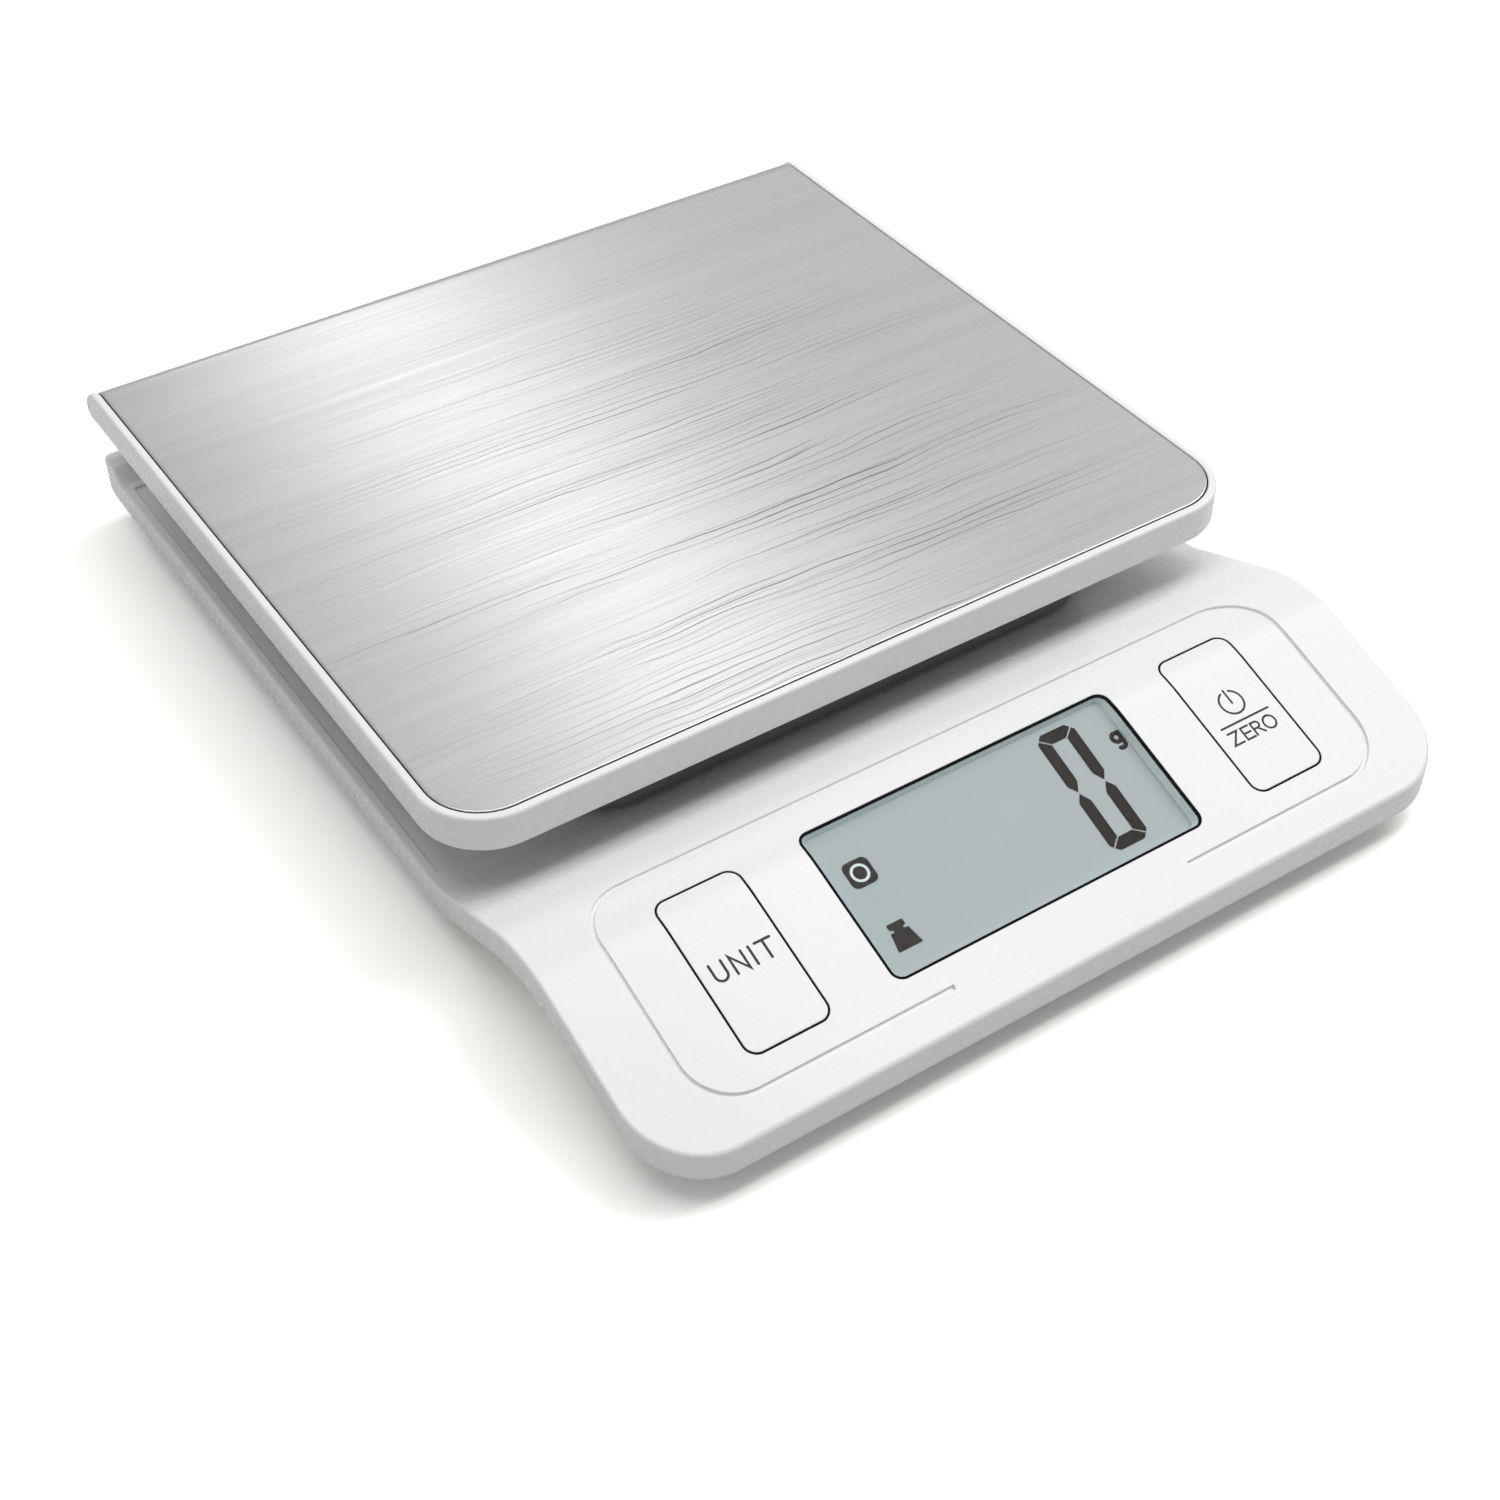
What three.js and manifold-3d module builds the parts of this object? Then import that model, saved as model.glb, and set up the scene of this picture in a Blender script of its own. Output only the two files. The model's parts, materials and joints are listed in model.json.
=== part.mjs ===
// Flat digital kitchen scale: a brushed steel weighing platform over a wave-shaped base with a
// sloping control panel. Millimetres, +Z up, +Y to the rear, origin on the table under the centre.
import * as THREE from 'three';
import { mergeVertices } from 'three/addons/utils/BufferGeometryUtils.js';
import Module from 'manifold-3d';

const wasm = await Module();
wasm.setup();

// ---------------------------------------------------------------- driving dimensions
const GAP = 0.3;                    // assembly gap between touching pieces
const FAR = 200;                    // reaches past everything when cutting
const ABOVE = 60;                   // higher than everything
const BELOW = -20;                  // lower than everything
const WAVE_REACH = 30;              // how far a cutting band runs past the base's ends

// base
const BASE_HALF_W = 96.4;
const BASE_FRONT = -124;
const BASE_REAR = 124;
const BASE_CORNER_R = 15.5;
const BASE_REAR_CORNER_R = 2;
const TROUGH_Z = 14.8;              // top of the low part, under the platform
const LEDGE_Z = 18;                 // raised strip along the rear edge
const LEDGE_Y = 117.6;
const LEDGE_FOOT_Y = 114.4;
const RAMP_FOOT_Y = -41.3;          // where the ramp starts to climb
const CREST_Y = -75;                // where ramp and panel would meet if the crest were sharp
const CREST_Z = 28.05;
const CREST_R = 30;
const FRONT_Z = 12.4;               // panel height at the front edge
const SHELL_H = 6.9;                // height of the shell's side band
const SHELL_T = 2.6;                // shell plate thickness
const SHELL_WALL = 2.4;
const RECESS_DEPTH = 0.6;           // trough floor below its rim
const RECESS_RIM = 2.2;
const RECESS_FRONT = -38.3;
const RECESS_REAR = 112.4;
const POST_HOLE_R = 9;
const CASE_BOSS = { r: 3.4, z: 6.8, pilotR: 1.4, pilotZ: 5, pilotTop: 11.6 };
const BOSS_COVER = 0.8;             // how far a boss runs into the shell plate

// lower case
const TUB_HALF_W = 84;
const TUB_FRONT = -114;
const TUB_REAR = 116;
const TUB_R = 14;
const TUB_WALL = 2;
const FLOOR_Z = 2;
const FLOOR_TOP = 4;
const FLANGE_TOP = 5;               // below the wave surface
const FLANGE_T = 1.4;
const FOOT_R = 6;
const FOOT_TOP = 2.7;
const FOOT_CHAMFER = 0.6;
const CASE_PILLAR = { r: 4.4, top: 6.5, headR: 2.9, headTop: 4.5, holeR: 1.5 };
const BAR_PAD = { x0: -8, x1: 8, y0: 48, y1: 65 };
const BAR_HOLE = { headR: 3.3, headTop: 3.9, holeR: 1.9 };
const FOOT_SPOTS = [[-66, -98], [66, -98], [-66, 98], [66, 98]];
const CASE_SCREW_SPOTS = [[-77, -103], [77, -103], [-77, -30], [77, -30], [-77, 106], [77, 106]];

// control panel frame: origin on the surface at the rear of the keys, +y up the slope
const PANEL_ANGLE = Math.atan((CREST_Z - FRONT_Z) / (CREST_Y - BASE_FRONT));
const PANEL_Y = -79.75;
const PANEL_Z = CREST_Z + (PANEL_Y - CREST_Y) * Math.tan(PANEL_ANGLE);
const WINDOW = { x0: -37.9, x1: 37.9, y0: -33.3, y1: 2, r: 2.6 };
const KEY_HALF_W = 9.4;
const KEY_X = 61;
const KEY_REAR = 1.8;
const KEY_R = 3;
const KEY_GAP = 0.4;
const KEY_BOTTOM = -5.2;
const KEY_WALL = 1.4;
const KEY_TOP_T = 1.9;
const KEY_FLANGE = { width: 1.2, top: -4.4 };
const KEY_STEM = { r: 2.3, bottom: -4, top: -1.2 };
const GROOVE = { x0: -82.55, x1: 82.55, y0: -38.8, y1: 9.7, r: 11 };
const GROOVE_W = 1;
const GROOVE_DEPTH = 0.5;
const GROOVE_BREAK = 28.5;          // half-width of the break in the groove's front run
const PANEL_BELOW = -12;            // cutting reach under and over the panel surface
const PANEL_ABOVE = 8;

// stack under the panel surface, along the panel's normal
const LENS_T = 1;
const GLASS_TOP = -2.4;
const GLASS_BOTTOM = -4.2;
const HOLDER_BOTTOM = -6.5;
const BOARD_TOP = -8;
const BOARD_T = 1.2;
const BOARD = { x0: -72, x1: 72, y0: -35, y1: 3 };
const BOARD_SPOTS = [[-46, -30], [46, -30], [-46, -4], [46, -4]];
const BOARD_BOSS = { r: 2.6, pilotR: 1.1, pilotTop: -3.6, holeR: 1.5 };
const PANE_INSET = 0.6;
const HOLDER_RIM = { out: 1.6, in: 4.5 };
const ZEBRA = { x0: -30, x1: 30, y0: -27.6, y1: -25.2 };
const SWITCH_Y = -16;
const SWITCH_HALF = 3;
const SWITCH_TOP = -6.1;
const SWITCH_WELL_R = 1.9;
const BUTTON = { r: 1.6, bottom: -7, top: -4.3 };

// batteries
const CELL_R = 5.2;
const CELL_HALF_LEN = 22.2;
const CELL_Z = 9.8;
const CELL_Y = [-70.2, -59.1];
const BAY = { x0: -27, x1: 27, y0: -76, y1: -53.3 };
const BAY_WALL = 1.4;
const BAY_ROOF_Z = 15.4;
const DOOR_TOP = 3.6;
const DOOR_GAP = 0.4;
const THUMB_NOTCH = { halfW: 7, length: 2.2, depth: 0.7 };
const GRIP_RIB = { halfW: 8, width: 1.1, depth: 0.4, first: 6, pitch: 2.5, count: 3 };
const NUB = { r: 1.9, length: 1 };
const CONTACT_T = 0.5;
const CONTACT_HALF_H = 4.5;
const CONTACT_MARGIN = 1.5;
const CONTACT_BUMP = { tipR: 1.6, footR: 3.2, sunk: 0.2 };

// leads, as points along each run
const LEAD_R = 0.6;
const CELL_LEAD_R = 0.9;
const RED_LEAD = [[-30, -68, 7], [-32.5, -72, 10], [-33, -77, 13.5]];
const BLACK_LEAD = [[30, -68, 7], [32.5, -72, 10], [33, -77, 13.5]];
const CELL_LEAD = [
  [9.4, 36, 8.4], [14, 30, 6], [30, 14, 5.5], [38, -10, 5.5], [40, -40, 5.5], [40, -66, 7.5],
  [40, -77, 13],
];

// load cell, lying front to rear under the platform's centre
const CELL_BAR = { x0: -7.5, x1: 7.5, y0: 4, y1: 64, z0: 5.4, z1: 11.4 };
const POST_Y = 12;
const POST_R = 7;
const POST_BOTTOM = 12.2;
const POST_SCREW_Y = [8, 16];
const BAR_SCREW_Y = [52, 60];
const FLEX_HOLE_Y = [30, 38];       // the two bored holes whose walls bend
const FLEX_HOLE_R = 2.2;
const FLEX_SLOT_HALF_H = 0.5;
const BAR_PILOT_R = 1.9;
const POST_BORE = { r: 2.1, headR: 3.4, headTop: 7.6 };
const STOP = { y: 24, r: 4, h: 0.6 };
const POST_PILOT = { r: 1.8, lowerTop: 19, upperBottom: 25 };
const POST_SCREW_TOP = { headR: 3, headZ: 33.7, headTop: 34.6, shaftR: 1.5, shaftZ: 26 };

// platform
const TOP_Z = 38;
const FRAME_HALF_W = 97.2;
const FRAME_FRONT = -53.5;
const FRAME_REAR = 123.5;
const FRAME_BOTTOM = 29.6;
const FRAME_CORNER_R = 14.7;
const PLATE_HALF_W = 95;
const PLATE_FRONT = -51.25;
const PLATE_CORNER_R = 12.4;
const PLATE_REAR = 123.2;
const PLATE_T = 1;
const PLATE_BEND_R = 6.4;
const PLATE_LIP_Z = 31.3;
const FRAME_DECK = 34.9;            // underside of the frame's deck
const FRAME_HOLLOW = { x: 94.6, front: -50.9, rear: 118.5, r: 12, rearR: 3 };
const FRAME_PILOT = { r: 1.4, z: 30, top: 36 };
const BRACKET_BOSS_R = 4;
const COVER_BOSS_R = 3.6;
const COVER_FIT = 0.4;
const COVER_Z = 31;
const COVER_T = 1.6;
const SKIRT = { x0: -67, x1: 67, y0: -44.5, y1: 100, r: 14 };
const SKIRT_BOTTOM = 17;
const SKIRT_WALL = 2;
const SKIRT_FLARE = 4;
const SKIRT_FLARE_H = 6;
const BRACKET_Z = 31.9;
const BRACKET_T = 1.5;
const BRACKET = { halfW: 60, front: -18, rear: 90, arm: 12, webHalfW: 12 };
const BRACKET_SPOTS = [[-54, -12], [54, -12], [-54, 84], [54, 84]];
const COVER_SPOTS = [[-80, -30], [80, -30], [-80, 100], [80, 100]];
const SCREW_HOLE_R = 1.5;

// screws that point up: z is the bearing face, on top of the head
const CASE_SCREW = { headR: 2.6, headH: 1.8, z: 4.2, shaftR: 1.1, length: 6.9 };
const BOARD_SCREW = { headR: 2.2, headH: 1.2, z: BOARD_TOP - BOARD_T - GAP, shaftR: 0.9, length: 4.6 };
const BAR_SCREW = { headR: 3, headH: 1.4, z: 3.6, shaftR: 1.6, length: 6.9 };
const POST_SCREW = { headR: 2.9, headH: 1.6, z: 7.1, shaftR: 1.5, length: 11.4 };
const BRACKET_SCREW = { headR: 2.6, headH: 1.3, z: BRACKET_Z - GAP, shaftR: 1.1, length: 4 };
const COVER_SCREW = { headR: 2.4, headH: 0.9, z: COVER_Z - GAP, shaftR: 1.1, length: 4.6 };
const SLOT_HALF_W = 0.3;
const SLOT_DEPTH = 0.5;

// ---------------------------------------------------------------- materials
function finish(color, roughness, metalness) {
  return new THREE.MeshStandardMaterial({ color, roughness, metalness });
}

const whitePlastic = () => finish(0xf1f2f2, 0.3, 0);
const innerPlastic = () => finish(0xdcdcda, 0.6, 0);
const brushedSteel = () => finish(0xc9cacb, 0.34, 1);
const zincSteel = () => finish(0xb4b6b8, 0.4, 1);
const aluminium = () => finish(0xc4c7ca, 0.45, 1);
const darkRubber = () => finish(0x3b3c3e, 0.85, 0);
const blackPlastic = () => finish(0x202124, 0.5, 0);
const lcdGlass = () => finish(0xb2bdbe, 0.2, 0);
const clearLens = () => finish(0xdfe6e6, 0.08, 0);
const boardGreen = () => finish(0x2d6b48, 0.55, 0);
const cellWrap = () => finish(0x4b5a66, 0.4, 0.2);
const springSteel = () => finish(0xd2d0c8, 0.3, 1);
const wireCoat = () => finish(0x8f3430, 0.5, 0);

// ---------------------------------------------------------------- solids
function solid(geometry) {
  const bare = geometry.clone();
  bare.deleteAttribute('normal');
  bare.deleteAttribute('uv');
  const merged = mergeVertices(bare, 1e-4);
  return new wasm.Manifold(new wasm.Mesh({
    numProp: 3,
    vertProperties: Float32Array.from(merged.attributes.position.array),
    triVerts: Uint32Array.from(merged.index.array),
  }));
}

function geometryOf(manifold) {
  const mesh = manifold.getMesh();
  const geometry = new THREE.BufferGeometry();
  geometry.setAttribute('position', new THREE.BufferAttribute(mesh.vertProperties, 3));
  geometry.setIndex(new THREE.BufferAttribute(mesh.triVerts, 1));
  geometry.computeVertexNormals();
  return geometry;
}

function joined(first, ...others) {
  return others.reduce((sum, next) => sum.add(next), first);
}

function cut(first, ...others) {
  return others.reduce((rest, next) => rest.subtract(next), first);
}

// closed outline through corner points [a, b, radius]; a radius of 0 or none is a sharp corner
function outline(corners) {
  const shape = new THREE.Shape();
  const count = corners.length;
  corners.forEach(([a, b, radius = 0], i) => {
    const here = new THREE.Vector2(a, b);
    const before = new THREE.Vector2(...corners[(i + count - 1) % count].slice(0, 2)).sub(here);
    const after = new THREE.Vector2(...corners[(i + 1) % count].slice(0, 2)).sub(here);
    before.normalize();
    after.normalize();
    const half = Math.acos(THREE.MathUtils.clamp(before.dot(after), -1, 1)) / 2;
    const reach = radius / Math.tan(half);
    const start = here.clone().addScaledVector(before, reach);
    if (i === 0) shape.moveTo(start.x, start.y);
    else shape.lineTo(start.x, start.y);
    if (radius > 0) {
      const end = here.clone().addScaledVector(after, reach);
      const bisector = before.clone().add(after).normalize();
      const centre = here.clone().addScaledVector(bisector, radius / Math.sin(half));
      const from = Math.atan2(start.y - centre.y, start.x - centre.x);
      const to = Math.atan2(end.y - centre.y, end.x - centre.x);
      const clockwise = before.cross(after) > 0;
      shape.absarc(centre.x, centre.y, radius, from, to, clockwise);
    }
  });
  shape.closePath();
  return shape;
}

// upright prism of a plan outline
function prism(shape, z0, z1, segments = 2) {
  const options = { depth: z1 - z0, bevelEnabled: false, curveSegments: segments };
  return solid(new THREE.ExtrudeGeometry(shape, options).translate(0, 0, z0));
}

// prism of a side outline given as (y, z), run along x
function sideways(shape, x0, x1, segments = 3) {
  const options = { depth: x1 - x0, bevelEnabled: false, curveSegments: segments };
  const geometry = new THREE.ExtrudeGeometry(shape, options).translate(0, 0, x0);
  const turn = new THREE.Matrix4().makeBasis(
    new THREE.Vector3(0, 1, 0), new THREE.Vector3(0, 0, 1), new THREE.Vector3(1, 0, 0));
  return solid(geometry.applyMatrix4(turn));
}

function block(x0, x1, y0, y1, z0, z1) {
  const geometry = new THREE.BoxGeometry(x1 - x0, y1 - y0, z1 - z0);
  return solid(geometry.translate((x0 + x1) / 2, (y0 + y1) / 2, (z0 + z1) / 2));
}

function peg(x, y, radius, z0, z1, sides = 16) {
  const geometry = new THREE.CylinderGeometry(radius, radius, z1 - z0, sides);
  return solid(geometry.rotateX(Math.PI / 2).translate(x, y, (z0 + z1) / 2));
}

// cylinder along x
function rod(x0, x1, y, z, radius, sides = 20, endRadius = radius) {
  const geometry = new THREE.CylinderGeometry(endRadius, radius, x1 - x0, sides);
  return solid(geometry.rotateZ(-Math.PI / 2).translate((x0 + x1) / 2, y, z));
}

function rounded(x0, x1, y0, y1, frontR, rearR = frontR) {
  return outline([[x0, y0, frontR], [x1, y0, frontR], [x1, y1, rearR], [x0, y1, rearR]]);
}

function grown(area, by) {
  return rounded(area.x0 - by, area.x1 + by, area.y0 - by, area.y1 + by, Math.max(area.r + by, 0.2));
}

// places a solid or geometry made in the panel's own frame
const panelPose = new THREE.Matrix4().makeRotationX(PANEL_ANGLE)
  .setPosition(0, PANEL_Y, PANEL_Z);

function onPanel(made) {
  return solid(geometryOf(made).applyMatrix4(panelPose));
}

// corner points of the base's top surface, rear to front, lowered by a drop
function waveLine(drop, reachY = 0) {
  return [
    [BASE_REAR + reachY, LEDGE_Z - drop],
    [LEDGE_Y, LEDGE_Z - drop, 1],
    [LEDGE_FOOT_Y, TROUGH_Z - drop, 1],
    [RAMP_FOOT_Y, TROUGH_Z - drop, 14],
    [CREST_Y, CREST_Z - drop, CREST_R],
    [BASE_FRONT - reachY, FRONT_Z - drop - reachY * Math.tan(PANEL_ANGLE)],
  ];
}

// band between two drops below the wave surface, the full width of the base or wider
function waveBand(topDrop, bottomDrop, halfWidth = BASE_HALF_W, reachY = 0) {
  const bottom = waveLine(bottomDrop, reachY).reverse();
  return sideways(outline([...waveLine(topDrop, reachY), ...bottom]), -halfWidth, halfWidth, 4);
}

function basePlan(inset) {
  const front = Math.max(BASE_CORNER_R - inset, 1);
  const rear = Math.max(BASE_REAR_CORNER_R - inset, 0.5);
  return rounded(-BASE_HALF_W + inset, BASE_HALF_W - inset, BASE_FRONT + inset,
    BASE_REAR - inset, front, rear);
}

// ---------------------------------------------------------------- base: shells
function keyArea(side) {
  return { x0: side * KEY_X - KEY_HALF_W, x1: side * KEY_X + KEY_HALF_W,
    y0: WINDOW.y0, y1: KEY_REAR, r: KEY_R };
}

function panelHole(area, grow) {
  return onPanel(prism(grown(area, grow), PANEL_BELOW, PANEL_ABOVE));
}

function grooveCutter() {
  const outer = prism(grown(GROOVE, GROOVE_W / 2), PANEL_BELOW, PANEL_ABOVE, 3);
  const inner = prism(grown(GROOVE, -GROOVE_W / 2), PANEL_BELOW - 1, PANEL_ABOVE + 1, 3);
  const gap = block(-GROOVE_BREAK, GROOVE_BREAK, GROOVE.y0 - GROOVE_W, GROOVE.y0 + GROOVE_W,
    PANEL_BELOW - 1, PANEL_ABOVE + 1);
  return onPanel(cut(outer, inner, gap));
}

function baseTopShell() {
  const side = outline([
    [BASE_REAR, LEDGE_Z, 1.6],
    ...waveLine(0).slice(1, 5),
    [BASE_FRONT, FRONT_Z, 0.8],
    [BASE_FRONT, FRONT_Z - SHELL_H, 0.8],
    ...waveLine(SHELL_H).slice(3, 5).reverse(),
    [BASE_REAR, TROUGH_Z - SHELL_H, 5],
  ]);
  const body = sideways(side, -BASE_HALF_W, BASE_HALF_W, 4)
    .intersect(prism(basePlan(0), BELOW, ABOVE, 5));
  const hollow = waveBand(SHELL_T, SHELL_H + PANEL_ABOVE, FAR, WAVE_REACH)
    .intersect(prism(basePlan(SHELL_WALL), BELOW, ABOVE, 3));
  const recess = prism(rounded(-BASE_HALF_W + RECESS_RIM, BASE_HALF_W - RECESS_RIM,
    RECESS_FRONT, RECESS_REAR, 1), TROUGH_Z - RECESS_DEPTH, ABOVE);
  const groove = grooveCutter().subtract(waveBand(GROOVE_DEPTH, ABOVE, FAR, WAVE_REACH));
  const postHole = peg(0, POST_Y, POST_HOLE_R, 0, ABOVE, 28);
  let shell = cut(body, hollow, recess, groove, postHole, panelHole(WINDOW, 0));
  shell = cut(shell, panelHole(keyArea(-1), 0), panelHole(keyArea(1), 0));
  const room = prism(basePlan(1), BELOW, ABOVE)
    .subtract(waveBand(-ABOVE, SHELL_T - BOSS_COVER, FAR, WAVE_REACH));
  for (const [x, y] of CASE_SCREW_SPOTS) {
    const boss = peg(x, y, CASE_BOSS.r, CASE_BOSS.z, ABOVE, 16).intersect(room);
    const pilot = peg(x, y, CASE_BOSS.pilotR, CASE_BOSS.pilotZ, CASE_BOSS.pilotTop, 12);
    shell = cut(shell.add(boss), pilot);
  }
  for (const [x, y] of BOARD_SPOTS) {
    const boss = onPanel(peg(x, y, BOARD_BOSS.r, BOARD_TOP + GAP, 0, 14)).intersect(room);
    const pilot = onPanel(peg(x, y, BOARD_BOSS.pilotR, BOARD_TOP - 1, BOARD_BOSS.pilotTop, 12));
    shell = cut(shell.add(boss), pilot);
  }
  return shell;
}

function baseLowerCase() {
  const plan = rounded(-TUB_HALF_W, TUB_HALF_W, TUB_FRONT, TUB_REAR, TUB_R);
  const underShell = waveBand(SHELL_T + GAP, ABOVE, FAR, WAVE_REACH);
  const tub = prism(plan, FLOOR_Z, ABOVE, 4).intersect(underShell);
  const flange = waveBand(FLANGE_TOP, FLANGE_TOP + FLANGE_T, FAR, 0)
    .intersect(prism(basePlan(SHELL_WALL + GAP), BELOW, ABOVE, 3));
  const inside = prism(rounded(-TUB_HALF_W + TUB_WALL, TUB_HALF_W - TUB_WALL, TUB_FRONT + TUB_WALL,
    TUB_REAR - TUB_WALL, TUB_R - TUB_WALL), FLOOR_TOP, ABOVE + 1, 4);
  let shell = cut(joined(tub, flange), inside);
  const bay = block(BAY.x0 - BAY_WALL, BAY.x1 + BAY_WALL, BAY.y0 - BAY_WALL, BAY.y1 + BAY_WALL,
    FLOOR_Z, BAY_ROOF_Z + BAY_WALL).intersect(underShell);
  shell = shell.add(bay);
  const pad = block(BAR_PAD.x0, BAR_PAD.x1, BAR_PAD.y0, BAR_PAD.y1, FLOOR_Z, CELL_BAR.z0 - GAP);
  shell = shell.add(pad);
  shell = cut(shell, block(BAY.x0, BAY.x1, BAY.y0, BAY.y1, 0, BAY_ROOF_Z));
  for (const [x, y] of CASE_SCREW_SPOTS) {
    const { r, top, headR, headTop, holeR } = CASE_PILLAR;
    shell = shell.add(peg(x, y, r, FLOOR_Z, top, 16));
    shell = cut(shell, peg(x, y, headR, 0, headTop, 16), peg(x, y, holeR, 0, top + 1, 12));
  }
  for (const y of BAR_SCREW_Y) {
    const { headR, headTop, holeR } = BAR_HOLE;
    shell = cut(shell, peg(0, y, headR, 0, headTop, 16), peg(0, y, holeR, 0, CELL_BAR.z0, 12));
  }
  for (const [x, y] of FOOT_SPOTS) {
    shell = cut(shell, peg(x, y, FOOT_R + GAP, 0, FOOT_TOP + GAP, 24));
  }
  return shell;
}

function rubberFoot(x, y) {
  const profile = [[0, 0], [FOOT_R - FOOT_CHAMFER, 0], [FOOT_R, FOOT_CHAMFER], [FOOT_R, FOOT_TOP],
    [0, FOOT_TOP]];
  const points = profile.map(([r, z]) => new THREE.Vector2(r, z));
  return solid(new THREE.LatheGeometry(points, 24).rotateX(Math.PI / 2).translate(x, y, 0));
}

// slotted screw that points up
function screwUp(x, y, { headR, headH, z, shaftR, length }) {
  const head = peg(x, y, headR, z - headH, z, 12);
  const slotReach = headR * 0.6;
  const slot = block(x - slotReach, x + slotReach, y - SLOT_HALF_W, y + SLOT_HALF_W,
    z - headH - 1, z - headH + SLOT_DEPTH);
  return head.add(peg(x, y, shaftR, z - 0.1, z + length, 8)).subtract(slot);
}

// ---------------------------------------------------------------- base: display and board
function lcdLens() {
  return panelHole(WINDOW, -KEY_GAP).intersect(waveBand(0, LENS_T, FAR, WAVE_REACH));
}

function lcdPane() {
  return onPanel(prism(grown(WINDOW, -PANE_INSET), GLASS_BOTTOM, GLASS_TOP));
}

function lcdHolder() {
  const outer = prism(grown(WINDOW, HOLDER_RIM.out), HOLDER_BOTTOM, GLASS_BOTTOM - GAP);
  const inner = prism(grown(WINDOW, -HOLDER_RIM.in), BELOW, 0);
  return onPanel(cut(outer, inner));
}

function zebraStrip() {
  return onPanel(block(ZEBRA.x0, ZEBRA.x1, ZEBRA.y0, ZEBRA.y1, BOARD_TOP + GAP,
    GLASS_BOTTOM - GAP));
}

function controlBoard() {
  let board = block(BOARD.x0, BOARD.x1, BOARD.y0, BOARD.y1, BOARD_TOP - BOARD_T, BOARD_TOP);
  for (const [x, y] of BOARD_SPOTS) {
    board = cut(board, peg(x, y, BOARD_BOSS.holeR, BELOW, 0, 12));
  }
  return onPanel(board);
}

function boardScrew(x, y) {
  return onPanel(screwUp(x, y, BOARD_SCREW));
}

function tactSwitch(side) {
  const x = side * KEY_X;
  const body = block(x - SWITCH_HALF, x + SWITCH_HALF, SWITCH_Y - SWITCH_HALF,
    SWITCH_Y + SWITCH_HALF, BOARD_TOP + GAP, SWITCH_TOP);
  return onPanel(cut(body, peg(x, SWITCH_Y, SWITCH_WELL_R, BELOW, 0, 16)));
}

function tactButton(side) {
  return onPanel(peg(side * KEY_X, SWITCH_Y, BUTTON.r, BUTTON.bottom, BUTTON.top, 16));
}

function keyCap(side) {
  const area = keyArea(side);
  const cap = onPanel(prism(grown(area, -KEY_GAP), KEY_BOTTOM, PANEL_ABOVE, 3))
    .intersect(waveBand(0, ABOVE, FAR, WAVE_REACH));
  const rim = onPanel(prism(grown(area, KEY_FLANGE.width), KEY_BOTTOM, KEY_FLANGE.top));
  const inside = panelHole(area, -KEY_GAP - KEY_WALL)
    .intersect(waveBand(KEY_TOP_T, ABOVE, FAR, WAVE_REACH));
  const stem = onPanel(peg(side * KEY_X, SWITCH_Y, KEY_STEM.r, KEY_STEM.bottom, KEY_STEM.top, 16));
  return cut(joined(cap, rim), inside).add(stem);
}

// ---------------------------------------------------------------- base: power
function batteryCell(y) {
  const shoulder = CELL_HALF_LEN - NUB.length;
  const body = rod(-CELL_HALF_LEN, shoulder, y, CELL_Z, CELL_R, 28);
  return body.add(rod(shoulder - 0.1, CELL_HALF_LEN, y, CELL_Z, NUB.r, 16));
}

function batteryContact(side) {
  const wall = BAY.x1 - GAP;
  const [x0, x1] = side > 0 ? [wall - CONTACT_T, wall] : [-wall, -wall + CONTACT_T];
  let contact = block(x0, x1, BAY.y0 + CONTACT_MARGIN, BAY.y1 - CONTACT_MARGIN,
    CELL_Z - CONTACT_HALF_H, CELL_Z + CONTACT_HALF_H);
  const tip = CELL_HALF_LEN + GAP;
  const foot = wall - CONTACT_BUMP.sunk;
  for (const y of CELL_Y) {
    const bump = side > 0
      ? rod(tip, foot, y, CELL_Z, CONTACT_BUMP.tipR, 16, CONTACT_BUMP.footR)
      : rod(-foot, -tip, y, CELL_Z, CONTACT_BUMP.footR, 16, CONTACT_BUMP.tipR);
    contact = contact.add(bump);
  }
  return contact;
}

function batteryDoor() {
  const panel = block(BAY.x0 + GAP, BAY.x1 - GAP, BAY.y0 + DOOR_GAP, BAY.y1 - DOOR_GAP,
    FLOOR_Z, DOOR_TOP);
  const { halfW, length, depth } = THUMB_NOTCH;
  let door = cut(panel, block(-halfW, halfW, BAY.y0, BAY.y0 + length, FLOOR_Z - 1, FLOOR_Z + depth));
  for (let i = 0; i < GRIP_RIB.count; i += 1) {
    const y = BAY.y0 + GRIP_RIB.first + i * GRIP_RIB.pitch;
    door = cut(door, block(-GRIP_RIB.halfW, GRIP_RIB.halfW, y, y + GRIP_RIB.width,
      FLOOR_Z - 1, FLOOR_Z + GRIP_RIB.depth));
  }
  return door;
}

// insulated lead through hand-picked points
function lead(points, radius) {
  const path = new THREE.CatmullRomCurve3(points.map((p) => new THREE.Vector3(...p)));
  const section = new THREE.Shape().absarc(0, 0, radius, 0, Math.PI * 2);
  const options = { extrudePath: path, steps: points.length * 3, curveSegments: 4 };
  return solid(new THREE.ExtrudeGeometry(section, { ...options, bevelEnabled: false }));
}

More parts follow.
